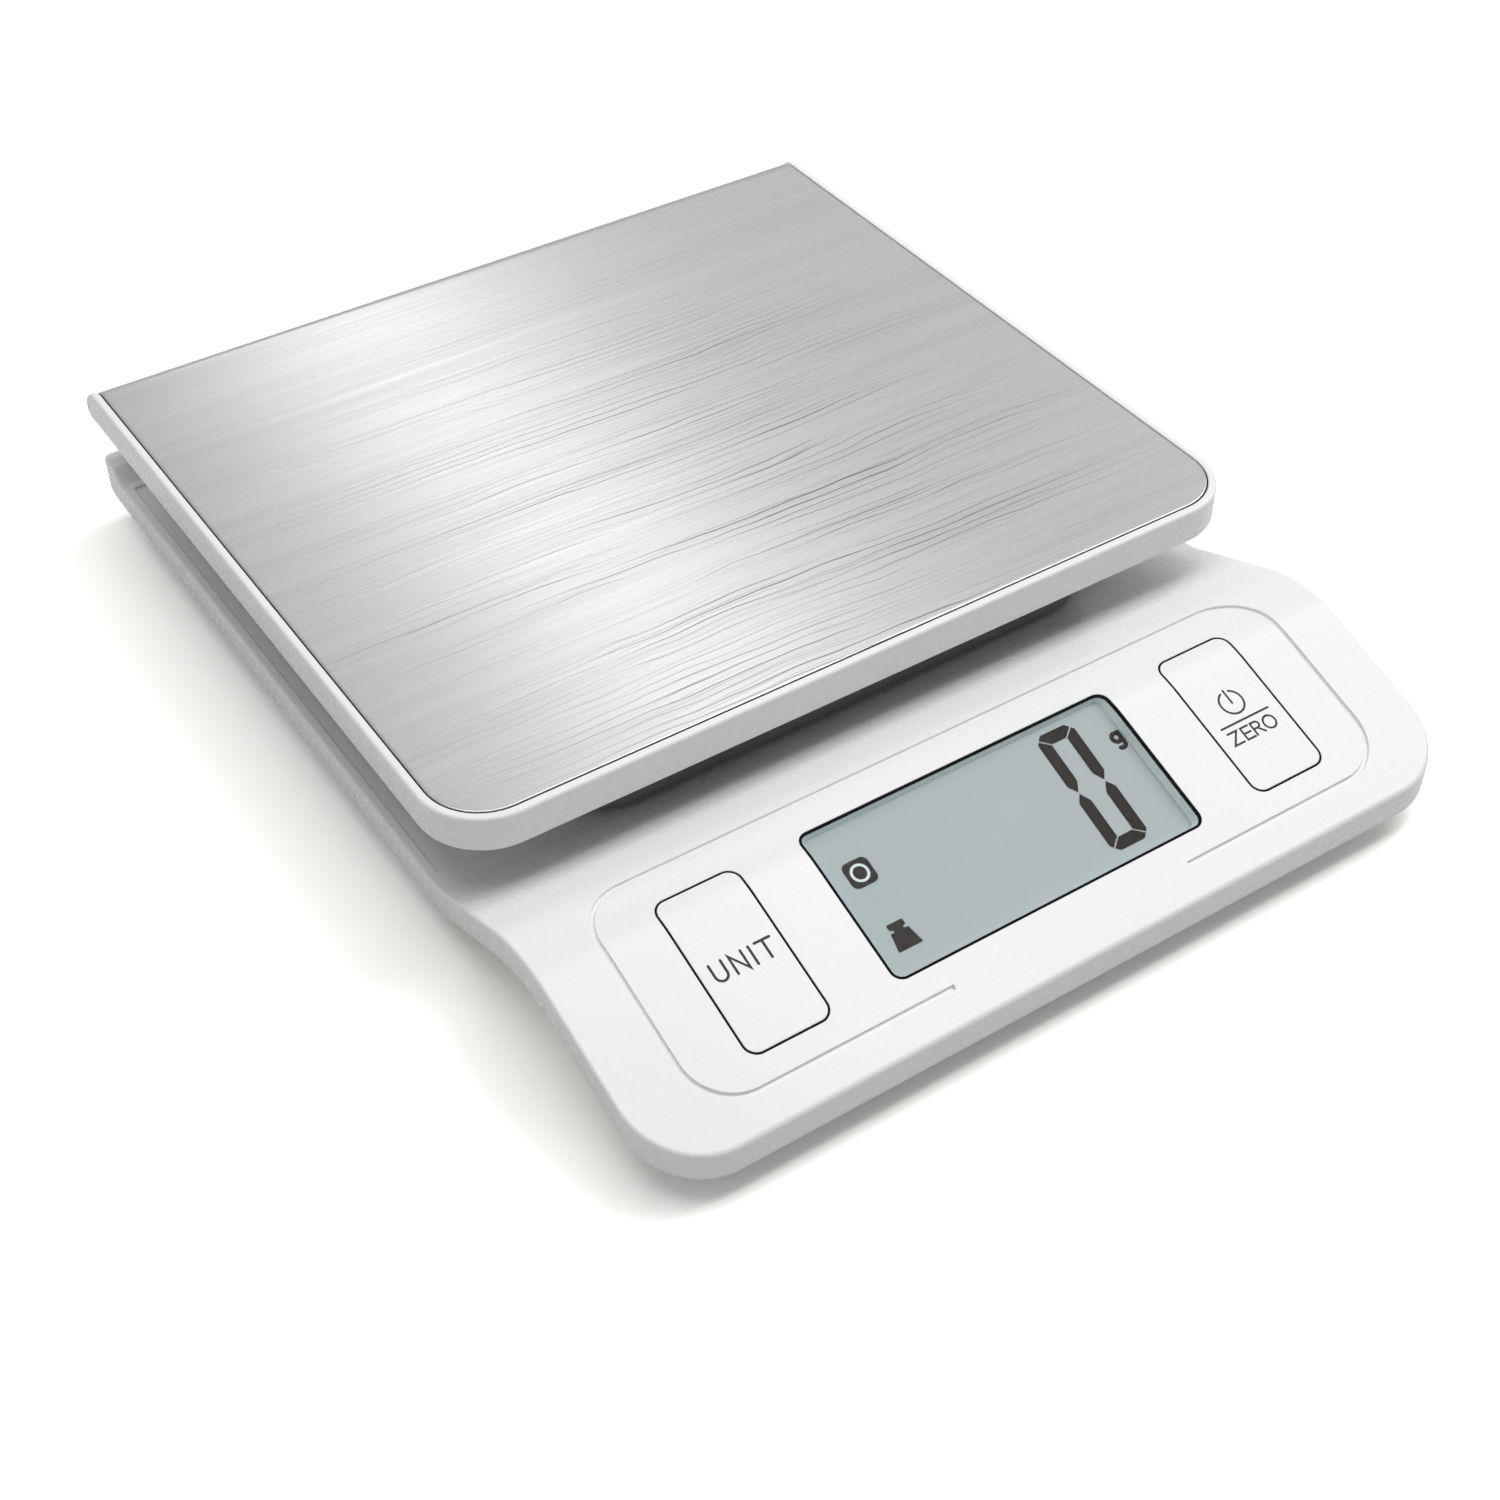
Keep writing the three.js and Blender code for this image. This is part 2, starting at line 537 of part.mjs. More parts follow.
// ---------------------------------------------------------------- base: load cell
function loadCell() {
  const bar = CELL_BAR;
  let body = block(bar.x0, bar.x1, bar.y0, bar.y1, bar.z0, bar.z1);
  const middle = (bar.z0 + bar.z1) / 2;
  for (const y of FLEX_HOLE_Y) body = cut(body, rod(-FAR, FAR, y, middle, FLEX_HOLE_R, 20));
  body = cut(body, block(-FAR, FAR, FLEX_HOLE_Y[0], FLEX_HOLE_Y[1],
    middle - FLEX_SLOT_HALF_H, middle + FLEX_SLOT_HALF_H));
  for (const y of BAR_SCREW_Y) body = cut(body, peg(0, y, BAR_PILOT_R, 0, ABOVE, 14));
  for (const y of POST_SCREW_Y) {
    body = cut(body, peg(0, y, POST_BORE.r, 0, ABOVE, 14),
      peg(0, y, POST_BORE.headR, 0, POST_BORE.headTop, 16));
  }
  return body;
}

function overloadStop() {
  return peg(0, STOP.y, STOP.r, FLOOR_TOP + GAP, FLOOR_TOP + GAP + STOP.h, 18);
}

// ---------------------------------------------------------------- platform
function loadPost() {
  let post = peg(0, POST_Y, POST_R, POST_BOTTOM, BRACKET_Z - GAP, 28);
  for (const y of POST_SCREW_Y) {
    post = cut(post, peg(0, y, POST_PILOT.r, 0, POST_PILOT.lowerTop, 14),
      peg(0, y, POST_PILOT.r, POST_PILOT.upperBottom, ABOVE, 14));
  }
  return post;
}

function postScrewTop(y) {
  const { headR, headZ, headTop, shaftR, shaftZ } = POST_SCREW_TOP;
  return peg(0, y, headR, headZ, headTop, 16).add(peg(0, y, shaftR, shaftZ, headZ + 0.1, 12));
}

// H-shaped plate: a web along y with an arm across each end
function platformBracket() {
  const { halfW, front, rear, arm, webHalfW } = BRACKET;
  const shape = outline([
    [-halfW, front, 4], [halfW, front, 4], [halfW, front + arm, 4], [webHalfW, front + arm, 2],
    [webHalfW, rear - arm, 2], [halfW, rear - arm, 4], [halfW, rear, 4], [-halfW, rear, 4],
    [-halfW, rear - arm, 4], [-webHalfW, rear - arm, 2], [-webHalfW, front + arm, 2],
    [-halfW, front + arm, 4],
  ]);
  let bracket = prism(shape, BRACKET_Z, BRACKET_Z + BRACKET_T);
  for (const [x, y] of BRACKET_SPOTS) bracket = cut(bracket, peg(x, y, SCREW_HOLE_R, 0, ABOVE, 12));
  for (const y of POST_SCREW_Y) bracket = cut(bracket, peg(0, y, POST_PILOT.r, 0, ABOVE, 12));
  return bracket;
}

function platformPlate() {
  const side = outline([
    [PLATE_FRONT, TOP_Z],
    [PLATE_FRONT, TOP_Z - PLATE_T],
    [PLATE_REAR - PLATE_T, TOP_Z - PLATE_T, PLATE_BEND_R - PLATE_T],
    [PLATE_REAR - PLATE_T, PLATE_LIP_Z],
    [PLATE_REAR, PLATE_LIP_Z],
    [PLATE_REAR, TOP_Z, PLATE_BEND_R],
  ]);
  const plan = rounded(-PLATE_HALF_W, PLATE_HALF_W, PLATE_FRONT, FAR, PLATE_CORNER_R);
  return sideways(side, -PLATE_HALF_W, PLATE_HALF_W, 4).intersect(prism(plan, 0, ABOVE, 5));
}

function plateRecess() {
  const floor = TOP_Z - PLATE_T - GAP;
  const rear = PLATE_REAR - PLATE_T - GAP;
  const side = outline([
    [PLATE_FRONT - GAP, TOP_Z + 20],
    [PLATE_FRONT - GAP, floor],
    [rear, floor, PLATE_BEND_R - PLATE_T - GAP],
    [rear, PLATE_LIP_Z - GAP],
    [FAR, PLATE_LIP_Z - GAP],
    [FAR, TOP_Z + 20],
  ]);
  const plan = rounded(-PLATE_HALF_W - GAP, PLATE_HALF_W + GAP, PLATE_FRONT - GAP, FAR + 10,
    PLATE_CORNER_R + GAP);
  return sideways(side, -PLATE_HALF_W - GAP, PLATE_HALF_W + GAP, 4).intersect(prism(plan, 0, ABOVE, 5));
}

function hollowPlan(inset) {
  const { x, front, rear, r, rearR } = FRAME_HOLLOW;
  return rounded(-x + inset, x - inset, front + inset, rear - inset, r - inset, rearR - inset);
}

function platformFrame() {
  const side = outline([
    [FRAME_FRONT, TOP_Z, 0.8],
    [FRAME_FRONT, FRAME_BOTTOM, 0.8],
    [FRAME_REAR, FRAME_BOTTOM, 2.4],
    [FRAME_REAR, TOP_Z, 6],
  ]);
  const plan = rounded(-FRAME_HALF_W, FRAME_HALF_W, FRAME_FRONT, FAR, FRAME_CORNER_R);
  const body = sideways(side, -FRAME_HALF_W, FRAME_HALF_W, 4).intersect(prism(plan, 0, ABOVE, 5));
  const hollow = prism(hollowPlan(0), 0, FRAME_DECK, 3);
  let frame = cut(body, plateRecess(), hollow);
  for (const [x, y] of BRACKET_SPOTS) {
    frame = frame.add(peg(x, y, BRACKET_BOSS_R, BRACKET_Z + BRACKET_T + GAP, FRAME_DECK + 0.5, 16));
    frame = cut(frame, peg(x, y, FRAME_PILOT.r, FRAME_PILOT.z, FRAME_PILOT.top, 12));
  }
  for (const [x, y] of COVER_SPOTS) {
    frame = frame.add(peg(x, y, COVER_BOSS_R, COVER_Z + COVER_T + GAP, FRAME_DECK + 0.5, 16));
    frame = cut(frame, peg(x, y, FRAME_PILOT.r, FRAME_PILOT.z, FRAME_PILOT.top, 12));
  }
  return frame;
}

function platformUnderCover() {
  const plate = prism(hollowPlan(COVER_FIT), COVER_Z, COVER_Z + COVER_T, 3);
  let cover = cut(plate, prism(grown(SKIRT, -SKIRT_WALL), 0, ABOVE, 4));
  for (const [x, y] of COVER_SPOTS) cover = cut(cover, peg(x, y, SCREW_HOLE_R, 0, ABOVE, 12));
  return cover;
}

// hollow pedestal that hangs from the under cover and flares towards it
function platformSkirt() {
  const top = COVER_Z - GAP;
  const wall = prism(grown(SKIRT, 0), SKIRT_BOTTOM, top, 4);
  const flareOptions = { depth: 0.5, bevelThickness: SKIRT_FLARE_H, bevelSize: SKIRT_FLARE,
    bevelSegments: 1, curveSegments: 4 };
  const flare = solid(new THREE.ExtrudeGeometry(grown(SKIRT, 0), flareOptions)
    .translate(0, 0, top)).intersect(block(-FAR, FAR, -FAR, FAR, 0, top));
  return cut(joined(wall, flare), prism(grown(SKIRT, -SKIRT_WALL), 0, ABOVE, 4));
}

// ---------------------------------------------------------------- assembly
const scale = new THREE.Group();

function place(name, manifold, material) {
  const mesh = new THREE.Mesh(geometryOf(manifold), material);
  mesh.name = name;
  scale.add(mesh);
}

place('base_top_shell', baseTopShell(), whitePlastic());
place('base_lower_case', baseLowerCase(), innerPlastic());
FOOT_SPOTS.forEach(([x, y], i) => place(`foot_${i + 1}`, rubberFoot(x, y), darkRubber()));
CASE_SCREW_SPOTS.forEach(([x, y], i) => {
  place(`case_screw_${i + 1}`, screwUp(x, y, CASE_SCREW), zincSteel());
});

place('lcd_lens', lcdLens(), clearLens());
place('lcd_glass', lcdPane(), lcdGlass());
place('lcd_holder', lcdHolder(), blackPlastic());
place('zebra_strip', zebraStrip(), darkRubber());
place('control_board', controlBoard(), boardGreen());
BOARD_SPOTS.forEach(([x, y], i) => place(`board_screw_${i + 1}`, boardScrew(x, y), zincSteel()));

for (const [name, side] of [['unit', -1], ['zero', 1]]) {
  place(`${name}_key`, keyCap(side), whitePlastic());
  place(`${name}_switch_button`, tactButton(side), blackPlastic());
  place(`${name}_switch`, tactSwitch(side), blackPlastic());
}

CELL_Y.forEach((y, i) => place(`battery_${i + 1}`, batteryCell(y), cellWrap()));
place('battery_contact_left', batteryContact(-1), springSteel());
place('battery_contact_right', batteryContact(1), springSteel());
place('battery_door', batteryDoor(), innerPlastic());
place('battery_lead_red', lead(RED_LEAD, LEAD_R), wireCoat());
place('battery_lead_black', lead(BLACK_LEAD, LEAD_R), blackPlastic());
place('load_cell_lead', lead(CELL_LEAD, CELL_LEAD_R), wireCoat());

place('load_cell', loadCell(), aluminium());
BAR_SCREW_Y.forEach((y, i) => {
  place(`load_cell_screw_${i + 1}`, screwUp(0, y, BAR_SCREW), zincSteel());
});
place('overload_stop', overloadStop(), darkRubber());

place('platform_plate', platformPlate(), brushedSteel());
place('platform_frame', platformFrame(), whitePlastic());
place('platform_under_cover', platformUnderCover(), innerPlastic());
place('platform_skirt', platformSkirt(), innerPlastic());
place('platform_bracket', platformBracket(), zincSteel());
place('load_post', loadPost(), aluminium());
POST_SCREW_Y.forEach((y, i) => {
  place(`post_screw_lower_${i + 1}`, screwUp(0, y, POST_SCREW), zincSteel());
  place(`post_screw_upper_${i + 1}`, postScrewTop(y), zincSteel());
});
BRACKET_SPOTS.forEach(([x, y], i) => {
  place(`bracket_screw_${i + 1}`, screwUp(x, y, BRACKET_SCREW), zincSteel());
});
COVER_SPOTS.forEach(([x, y], i) => {
  place(`cover_screw_${i + 1}`, screwUp(x, y, COVER_SCREW), zincSteel());
});

export default scale;
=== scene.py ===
import json
import math

import bmesh
import bpy
from mathutils import Matrix, Vector


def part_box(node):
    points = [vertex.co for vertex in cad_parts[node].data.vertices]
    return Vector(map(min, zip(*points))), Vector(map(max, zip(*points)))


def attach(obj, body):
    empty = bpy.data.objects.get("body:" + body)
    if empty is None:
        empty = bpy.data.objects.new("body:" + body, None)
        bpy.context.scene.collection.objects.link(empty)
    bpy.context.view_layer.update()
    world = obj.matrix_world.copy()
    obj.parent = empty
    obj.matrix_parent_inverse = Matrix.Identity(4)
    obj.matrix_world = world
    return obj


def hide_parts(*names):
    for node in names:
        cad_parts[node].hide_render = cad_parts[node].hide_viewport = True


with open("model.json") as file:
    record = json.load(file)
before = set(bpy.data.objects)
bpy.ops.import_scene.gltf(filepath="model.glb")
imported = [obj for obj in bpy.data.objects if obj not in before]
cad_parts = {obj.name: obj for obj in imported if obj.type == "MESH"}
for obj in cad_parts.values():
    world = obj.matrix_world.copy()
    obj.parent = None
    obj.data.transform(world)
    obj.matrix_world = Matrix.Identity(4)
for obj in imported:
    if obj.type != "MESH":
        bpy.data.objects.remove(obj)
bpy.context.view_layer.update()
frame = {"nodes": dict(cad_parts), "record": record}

# Lengths are in millimetres until a mesh is made, and every mesh is stored in metres.
MM = 0.001


def box_mm(node):
    low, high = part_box(node)
    return low / MM, high / MM


# ---------------------------------------------------------------- driving dimensions
BASE_LOW, BASE_HIGH = box_mm("base_top_shell")
PLATE_LOW, PLATE_HIGH = box_mm("platform_plate")
FRAME_LOW, FRAME_HIGH = box_mm("platform_frame")
SKIRT_LOW, SKIRT_HIGH = box_mm("platform_skirt")

GAP = 0.3                       # assembly gap between touching pieces
EDGE = 0.7                      # usual edge rounding of the white shells
HOLD = 0.5                      # width of the flat band kept beside a rounded edge
TINY_R = 0.12                   # smallest corner radius of an inset outline
SHARP = 32                      # edges over this angle, in degrees, stay sharp
BEYOND = 60                     # how far the wave runs on past the base's ends

BASE_CORNER_R = 15.5
BASE_REAR_R = 2.0
BASE_REAR_UNDER_R = 5.0         # rounding under the base's rear edge
TROUGH_Z = 14.8                 # top of the low part, under the platform
LEDGE_Z = 18.0                  # raised strip along the rear edge
LEDGE_Y = 117.6
LEDGE_FOOT_Y = 114.4
LEDGE_R = 1.0
RAMP_FOOT_Y = -41.3             # where the ramp starts to climb
RAMP_FOOT_R = 14.0
CREST_Y = -75.0                 # where ramp and panel would meet if the crest were sharp
CREST_Z = 28.05
CREST_R = 30.0
FRONT_Z = 12.4                  # panel height at the front edge
SHELL_H = 6.9                   # height of the shell's side band
SHELL_T = 2.6
SHELL_WALL = 2.4
RIM_W = 2.2                     # rim beside the trough's sunken floor
TROUGH_DROP = 0.6
POST_CLEARANCE = 2.0

PANEL_TAN = (CREST_Z - FRONT_Z) / (CREST_Y - BASE_LOW.y)
PANEL_ANGLE = math.atan(PANEL_TAN)
PANEL_Y = -79.75                # origin of the panel's own (x, v) coordinates
PANEL_Z = CREST_Z + (PANEL_Y - CREST_Y) * PANEL_TAN
PANEL_UP = Vector((0, math.cos(PANEL_ANGLE), math.sin(PANEL_ANGLE)))
PANEL_OUT = Vector((0, -math.sin(PANEL_ANGLE), math.cos(PANEL_ANGLE)))
PANEL_ORIGIN = Vector((0, PANEL_Y, PANEL_Z))

# An area on the panel is x0, x1, v0, v1 and corner radius; depths go down from its surface.
WINDOW = (-37.9, 37.9, -33.27, 2.0, 2.6)
KEY_HALF_W = 9.4
KEY_X = 60.97
KEY_R = 3.0
KEY_GAP = 0.42
KEY_TOP_T = 1.9
KEY_WALL = 1.4
KEY_FLANGE_W = 1.2              # how far the flange reaches out under the panel
KEY_FLANGE_TOP = 4.4
KEY_BOTTOM = 5.2
KEY_STEM_V = -16
KEY_STEM_DEPTH = 4
KEY_STEM_R = 2.3
KEY_STEM_H = 2.6
LENS_GAP = 0.58
LENS_T = 1.0
GROOVE = (-82.57, 82.57, -38.85, 9.7, 11.0)
GROOVE_HALF_W = 0.5
GROOVE_DEPTH = 0.65
GROOVE_BREAK = 28.5             # half width of the groove's break at the front
GLASS_DEPTH = 2.4
GLASS_BOTTOM = 4.2
# Dark rings in the gaps round the keys and the window, which paint the shade of the gaps:
GAP_FILL_TOP = 0.05
GAP_FILL_PLAY = 0.04                # between a dark gap fill and what sits inside it
KEY_GAP_FILL_BOTTOM = 1.0
WINDOW_GAP_FILL_BOTTOM = 0.6


# ---------------------------------------------------------------- wave surface of the base
def wave_corners():
    """(y, z, rounding radius) of each corner of the side profile."""
    return [(BASE_LOW.y - BEYOND, FRONT_Z - BEYOND * PANEL_TAN, 0), (CREST_Y, CREST_Z, CREST_R),
            (RAMP_FOOT_Y, TROUGH_Z, RAMP_FOOT_R), (LEDGE_FOOT_Y, TROUGH_Z, LEDGE_R),
            (LEDGE_Y, LEDGE_Z, LEDGE_R), (BASE_HIGH.y + BEYOND, LEDGE_Z, 0)]


def wave_arcs():
    """(start y, end y, centre y, centre z, signed radius) of each rounded corner."""
    corners = wave_corners()
    arcs = []
    for (ya, za, _), (yb, zb, radius), (yc, zc, _) in zip(corners, corners[1:], corners[2:]):
        before = math.atan2(zb - za, yb - ya)
        after = math.atan2(zc - zb, yc - yb)
        bend = after - before
        reach = radius * math.tan(abs(bend) / 2)
        start_y = yb - reach * math.cos(before)
        start_z = zb - reach * math.sin(before)
        side = 1 if bend > 0 else -1
        centre_y = start_y - side * radius * math.sin(before)
        centre_z = start_z + side * radius * math.cos(before)
        arcs.append((start_y, yb + reach * math.cos(after), centre_y, centre_z, side * radius))
    return arcs


WAVE_ARCS = wave_arcs()


def wave(y):
    """Height of the base's top surface."""
    for start, end, centre_y, centre_z, radius in WAVE_ARCS:
        if start <= y <= end:
            return centre_z - math.copysign(math.sqrt(radius ** 2 - (y - centre_y) ** 2), radius)
    corners = wave_corners()
    for (ya, za, _), (yb, zb, _) in zip(corners, corners[1:]):
        if y <= yb:
            return za + (y - ya) * (zb - za) / (yb - ya)
    return LEDGE_Z


def wave_normal(y):
    step = 0.01
    return Vector((0, -(wave(y + step) - wave(y - step)) / (2 * step), 1)).normalized()


def spaced(low, high, count):
    """Values from low to high in a number of equal steps, both ends included."""
    return [low + (high - low) * i / count for i in range(count + 1)]


def stations(low, high, step, arc_steps=22, closest=0.04):
    """Values of y from low to high: every corner arc finely, and the straight runs coarsely."""
    values = {low, high}
    for start, end, *_ in WAVE_ARCS:
        values.update(spaced(start, end, arc_steps))
    values.update(spaced(low, high, max(2, round((high - low) / step))))
    inside = sorted(v for v in values if low <= v <= high)
    kept = [inside[0]]
    for v in inside[1:]:
        if v - kept[-1] > closest:
            kept.append(v)
    return kept


# ---------------------------------------------------------------- mesh helpers
def outline(area, inset=0.0, rear_r=None, side=(), steps=10):
    """Closed loop of (x, v): right side front to rear, then left side rear to front."""
    x0, x1, v0, v1, front_r = area
    rear_r = front_r if rear_r is None else rear_r
    middle = (x0 + x1) / 2
    front = max(front_r - inset, TINY_R)
    rear = max(rear_r - inset, TINY_R)
    right = []
    for i in range(steps + 1):
        turn = math.pi / 2 * i / steps
        right.append((x1 - inset - front * (1 - math.sin(turn)),
                      v0 + inset + front * (1 - math.cos(turn))))
    right += [(x1 - inset, v) for v in side]
    for i in range(steps + 1):
        turn = math.pi / 2 * i / steps
        right.append((x1 - inset - rear * (1 - math.cos(turn)),
                      v1 - inset - rear * (1 - math.sin(turn))))
    return right + [(2 * middle - x, v) for x, v in reversed(right)]


def fillet(radius, depth=0.0, steps=5, hold=HOLD, up=True):
    """(inset, depth) levels round a top edge, from the side wall to the flat, or the reverse."""
    levels = []
    for i in range(steps + 1):
        turn = math.pi / 2 * i / steps
        levels.append((radius * (1 - math.cos(turn)), depth + radius * (1 - math.sin(turn))))
    levels.append((radius + hold, depth))
    return levels if up else levels[::-1]


def make_mesh(name, points, faces):
    mesh = bpy.data.meshes.new(name)
    mesh.from_pydata([Vector(p) * MM for p in points], [], faces)
    bm = bmesh.new()
    bm.from_mesh(mesh)
    bmesh.ops.remove_doubles(bm, verts=bm.verts, dist=0.002 * MM)
    bmesh.ops.dissolve_degenerate(bm, edges=bm.edges, dist=0.0005 * MM)
    bmesh.ops.recalc_face_normals(bm, faces=bm.faces)
    bm.to_mesh(mesh)
    bm.free()
    return mesh


def make_object(name, mesh):
    obj = bpy.data.objects.new(name, mesh)
    bpy.context.scene.collection.objects.link(obj)
    return obj


def shade(obj):
    mesh = obj.data
    mesh.polygons.foreach_set("use_smooth", [True] * len(mesh.polygons))
    mesh.set_sharp_from_angle(angle=math.radians(SHARP))
    return obj


def loft(name, rings, capped=True, closed=False):
    """Solid through rings of equal count; the two end rings are filled across in strips."""
    count = len(rings[0])
    points = [p for ring in rings for p in ring]
    faces = []
    pairs = list(zip(range(len(rings)), range(1, len(rings))))
    if closed:
        pairs.append((len(rings) - 1, 0))
    for a, b in pairs:
        for i in range(count):
            j = (i + 1) % count
            faces.append((a * count + i, a * count + j, b * count + j, b * count + i))
    if capped:
        for start in (0, (len(rings) - 1) * count):
            for i in range(count // 2 - 1):
                far = start + count - 1 - i
                faces.append((start + i, start + i + 1, far - 1, far))
    return shade(make_object(name, make_mesh(name, points, faces)))


def cut(obj, cutter):
    """Takes the cutter out of the object and deletes the cutter."""
    change = obj.modifiers.new("cut", "BOOLEAN")
    change.operation = "DIFFERENCE"
    change.solver = "EXACT"
    change.object = cutter
    bpy.context.view_layer.update()
    evaluated = obj.evaluated_get(bpy.context.evaluated_depsgraph_get())
    mesh = bpy.data.meshes.new_from_object(evaluated)
    obj.modifiers.clear()
    old = obj.data
    obj.data = mesh
    mesh.name = old.name
    bpy.data.meshes.remove(old)
    bpy.data.objects.remove(cutter)
    return obj


def lathe(name, profile, place, axis=Vector((0, 0, 1)), sides=48):
    """Turned piece: profile of (radius, height) from the axis back to the axis."""
    turn = axis.to_track_quat("Z", "Y").to_matrix()
    points = []
    faces = []
    for radius, height in profile:
        for i in range(sides):
            angle = 2 * math.pi * i / sides
            offset = Vector((radius * math.cos(angle), radius * math.sin(angle), height))
            points.append(Vector(place) + turn @ offset)
    for k in range(len(profile) - 1):
        for i in range(sides):
            j = (i + 1) % sides
            faces.append((k * sides + i, k * sides + j, (k + 1) * sides + j, (k + 1) * sides + i))
    return shade(make_object(name, make_mesh(name, points, faces)))


def join(name, pieces):
    bm = bmesh.new()
    for piece in pieces:
        bm.from_mesh(piece.data)
        bpy.data.objects.remove(piece)
    mesh = bpy.data.meshes.new(name)
    bm.to_mesh(mesh)
    bm.free()
    return make_object(name, mesh)


# ---------------------------------------------------------------- panel coordinates
def panel_point(x, v, depth=0.0):
    """Point over (x, v) on the panel, a depth below the curved surface along the panel normal."""
    flat = PANEL_ORIGIN + PANEL_UP * v
    lift = 0.0
    for _ in range(6):
        here = flat + PANEL_OUT * lift
        lift -= (here.z - wave(here.y)) * math.cos(PANEL_ANGLE)
    here = flat + PANEL_OUT * (lift - depth)
    return Vector((x, here.y, here.z))


def plane_point(x, v, depth=0.0):
    """The same on the flat plane that the panel's front part lies in."""
    here = PANEL_ORIGIN + PANEL_UP * v - PANEL_OUT * depth
    return Vector((x, here.y, here.z))


def panel_side(area, step=1.2, margin=0.3):
    """Stations along the straight sides of an outline on the panel."""
    v0, v1, radius = area[2:]
    low = v0 + radius + margin
    high = v1 - radius - margin
    return spaced(low, high, max(4, round((high - low) / step)))


def panel_rings(area, levels, to_point=panel_point, steps=10):
    side = panel_side(area)
    return [[to_point(x, v, depth) for x, v in outline(area, inset, side=side, steps=steps)]
            for inset, depth in levels]


def key_area(side):
    return (side * KEY_X - KEY_HALF_W, side * KEY_X + KEY_HALF_W, WINDOW[2], WINDOW[3], KEY_R)


# ---------------------------------------------------------------- materials
def srgb(red, green, blue):
    def linear(c):
        c /= 255
        return c / 12.92 if c <= 0.04045 else ((c + 0.055) / 1.055) ** 2.4
    return (linear(red), linear(green), linear(blue), 1.0)


WHITE = (1.0, 1.0, 1.0, 1.0)


class Nodes:
    """A material and short calls for the nodes it is made of; places are in metres."""

    def __init__(self, name, color, roughness, metallic=0.0, **inputs):
        self.material = bpy.data.materials.new(name)
        self.material.use_nodes = True
        self.tree = self.material.node_tree
        self.shader = self.tree.nodes["Principled BSDF"]
        self.shader.inputs["Base Color"].default_value = color
        self.shader.inputs["Roughness"].default_value = roughness
        self.shader.inputs["Metallic"].default_value = metallic
        for key, value in inputs.items():
            self.shader.inputs[key.replace("_", " ")].default_value = value
        self.position = self.add("ShaderNodeTexCoord").outputs["Object"]

    def add(self, kind, **settings):
        node = self.tree.nodes.new(kind)
        for key, value in settings.items():
            setattr(node, key, value)
        return node

    def link(self, source, target):
        self.tree.links.new(source, target)

    def stretched(self, scale):
        mapping = self.add("ShaderNodeMapping")
        mapping.inputs["Scale"].default_value = scale
        self.link(self.position, mapping.inputs["Vector"])
        return mapping.outputs["Vector"]

    def noise(self, scale, detail=3.0):
        """Even noise for one scale, or noise drawn out along the axes for three of them."""
        node = self.add("ShaderNodeTexNoise")
        even = isinstance(scale, (int, float))
        node.inputs["Scale"].default_value = scale if even else 1.0
        node.inputs["Detail"].default_value = detail
        self.link(self.position if even else self.stretched(scale), node.inputs["Vector"])
        return node.outputs["Fac"]

    def spread(self, value, low, high, from_low=0.3, from_high=0.7):
        node = self.add("ShaderNodeMapRange")
        node.inputs["From Min"].default_value = from_low
        node.inputs["From Max"].default_value = from_high
        node.inputs["To Min"].default_value = low
        node.inputs["To Max"].default_value = high
        self.link(value, node.inputs["Value"])
        return node.outputs["Result"]

    def colours(self, value, low, high, from_low=0.3, from_high=0.7):
        """Runs from one colour to the other as the value goes between two limits."""
        node = self.add("ShaderNodeValToRGB")
        stops = ((from_low, low), (from_high, high))
        for element, (place, color) in zip(node.color_ramp.elements, stops):
            element.position = place
            element.color = color
        self.link(value, node.inputs["Fac"])
        return node.outputs["Color"]

    def axis(self, letter):
        node = self.add("ShaderNodeSeparateXYZ")
        self.link(self.position, node.inputs["Vector"])
        return node.outputs[letter]

    def distance(self, scale=(1, 1, 1)):
        """Distance from the object's origin, with each axis scaled first."""
        node = self.add("ShaderNodeVectorMath", operation="LENGTH")
        self.link(self.stretched(scale), node.inputs[0])
        return node.outputs["Value"]

    def maths(self, operation, a, b):
        node = self.add("ShaderNodeMath", operation=operation)
        for socket, value in ((node.inputs[0], a), (node.inputs[1], b)):
            if isinstance(value, (int, float)):
                socket.default_value = value
            else:
                self.link(value, socket)
        return node.outputs["Value"]

    def product(self, a, b):
        return self.maths("MULTIPLY", a, b)

    def total(self, a, b):
        return self.maths("ADD", a, b)

    def mix(self, factor, a, color):
        """Mixes a fixed colour into another."""
        node = self.add("ShaderNodeMix", data_type="RGBA")
        first, second = [socket for socket in node.inputs if socket.type == "RGBA"]
        self.link(factor, node.inputs["Factor"])
        self.link(a, first)
        second.default_value = color
        return next(socket for socket in node.outputs if socket.type == "RGBA")

    def diffuse(self, color):
        node = self.add("ShaderNodeBsdfDiffuse")
        node.inputs["Color"].default_value = color
        return node.outputs["BSDF"]

    def joined(self, a, b):
        """Sum of two shaders."""
        node = self.add("ShaderNodeAddShader")
        self.link(a, node.inputs[0])
        self.link(b, node.inputs[1])
        return node.outputs["Shader"]

    def bump(self, height, strength, distance):
        node = self.add("ShaderNodeBump")
        node.inputs["Strength"].default_value = strength
        node.inputs["Distance"].default_value = distance
        self.link(height, node.inputs["Height"])
        return node.outputs["Normal"]

    def set(self, name, source):
        self.link(source, self.shader.inputs[name])
        return self


def white_plastic():
    """Glossy white moulding with faint orange peel."""
    m = Nodes("white_plastic", srgb(232, 232, 231), 0.26, Specular_IOR_Level=0.3)
    m.set("Base Color", m.colours(m.noise(14, 2), srgb(233, 233, 232), srgb(230, 231, 231),
                                  0.35, 0.65))
    m.set("Roughness", m.spread(m.noise(700), 0.24, 0.29))
    m.set("Normal", m.bump(m.noise(220, 2), 0.25, 0.00003))
    return m.material


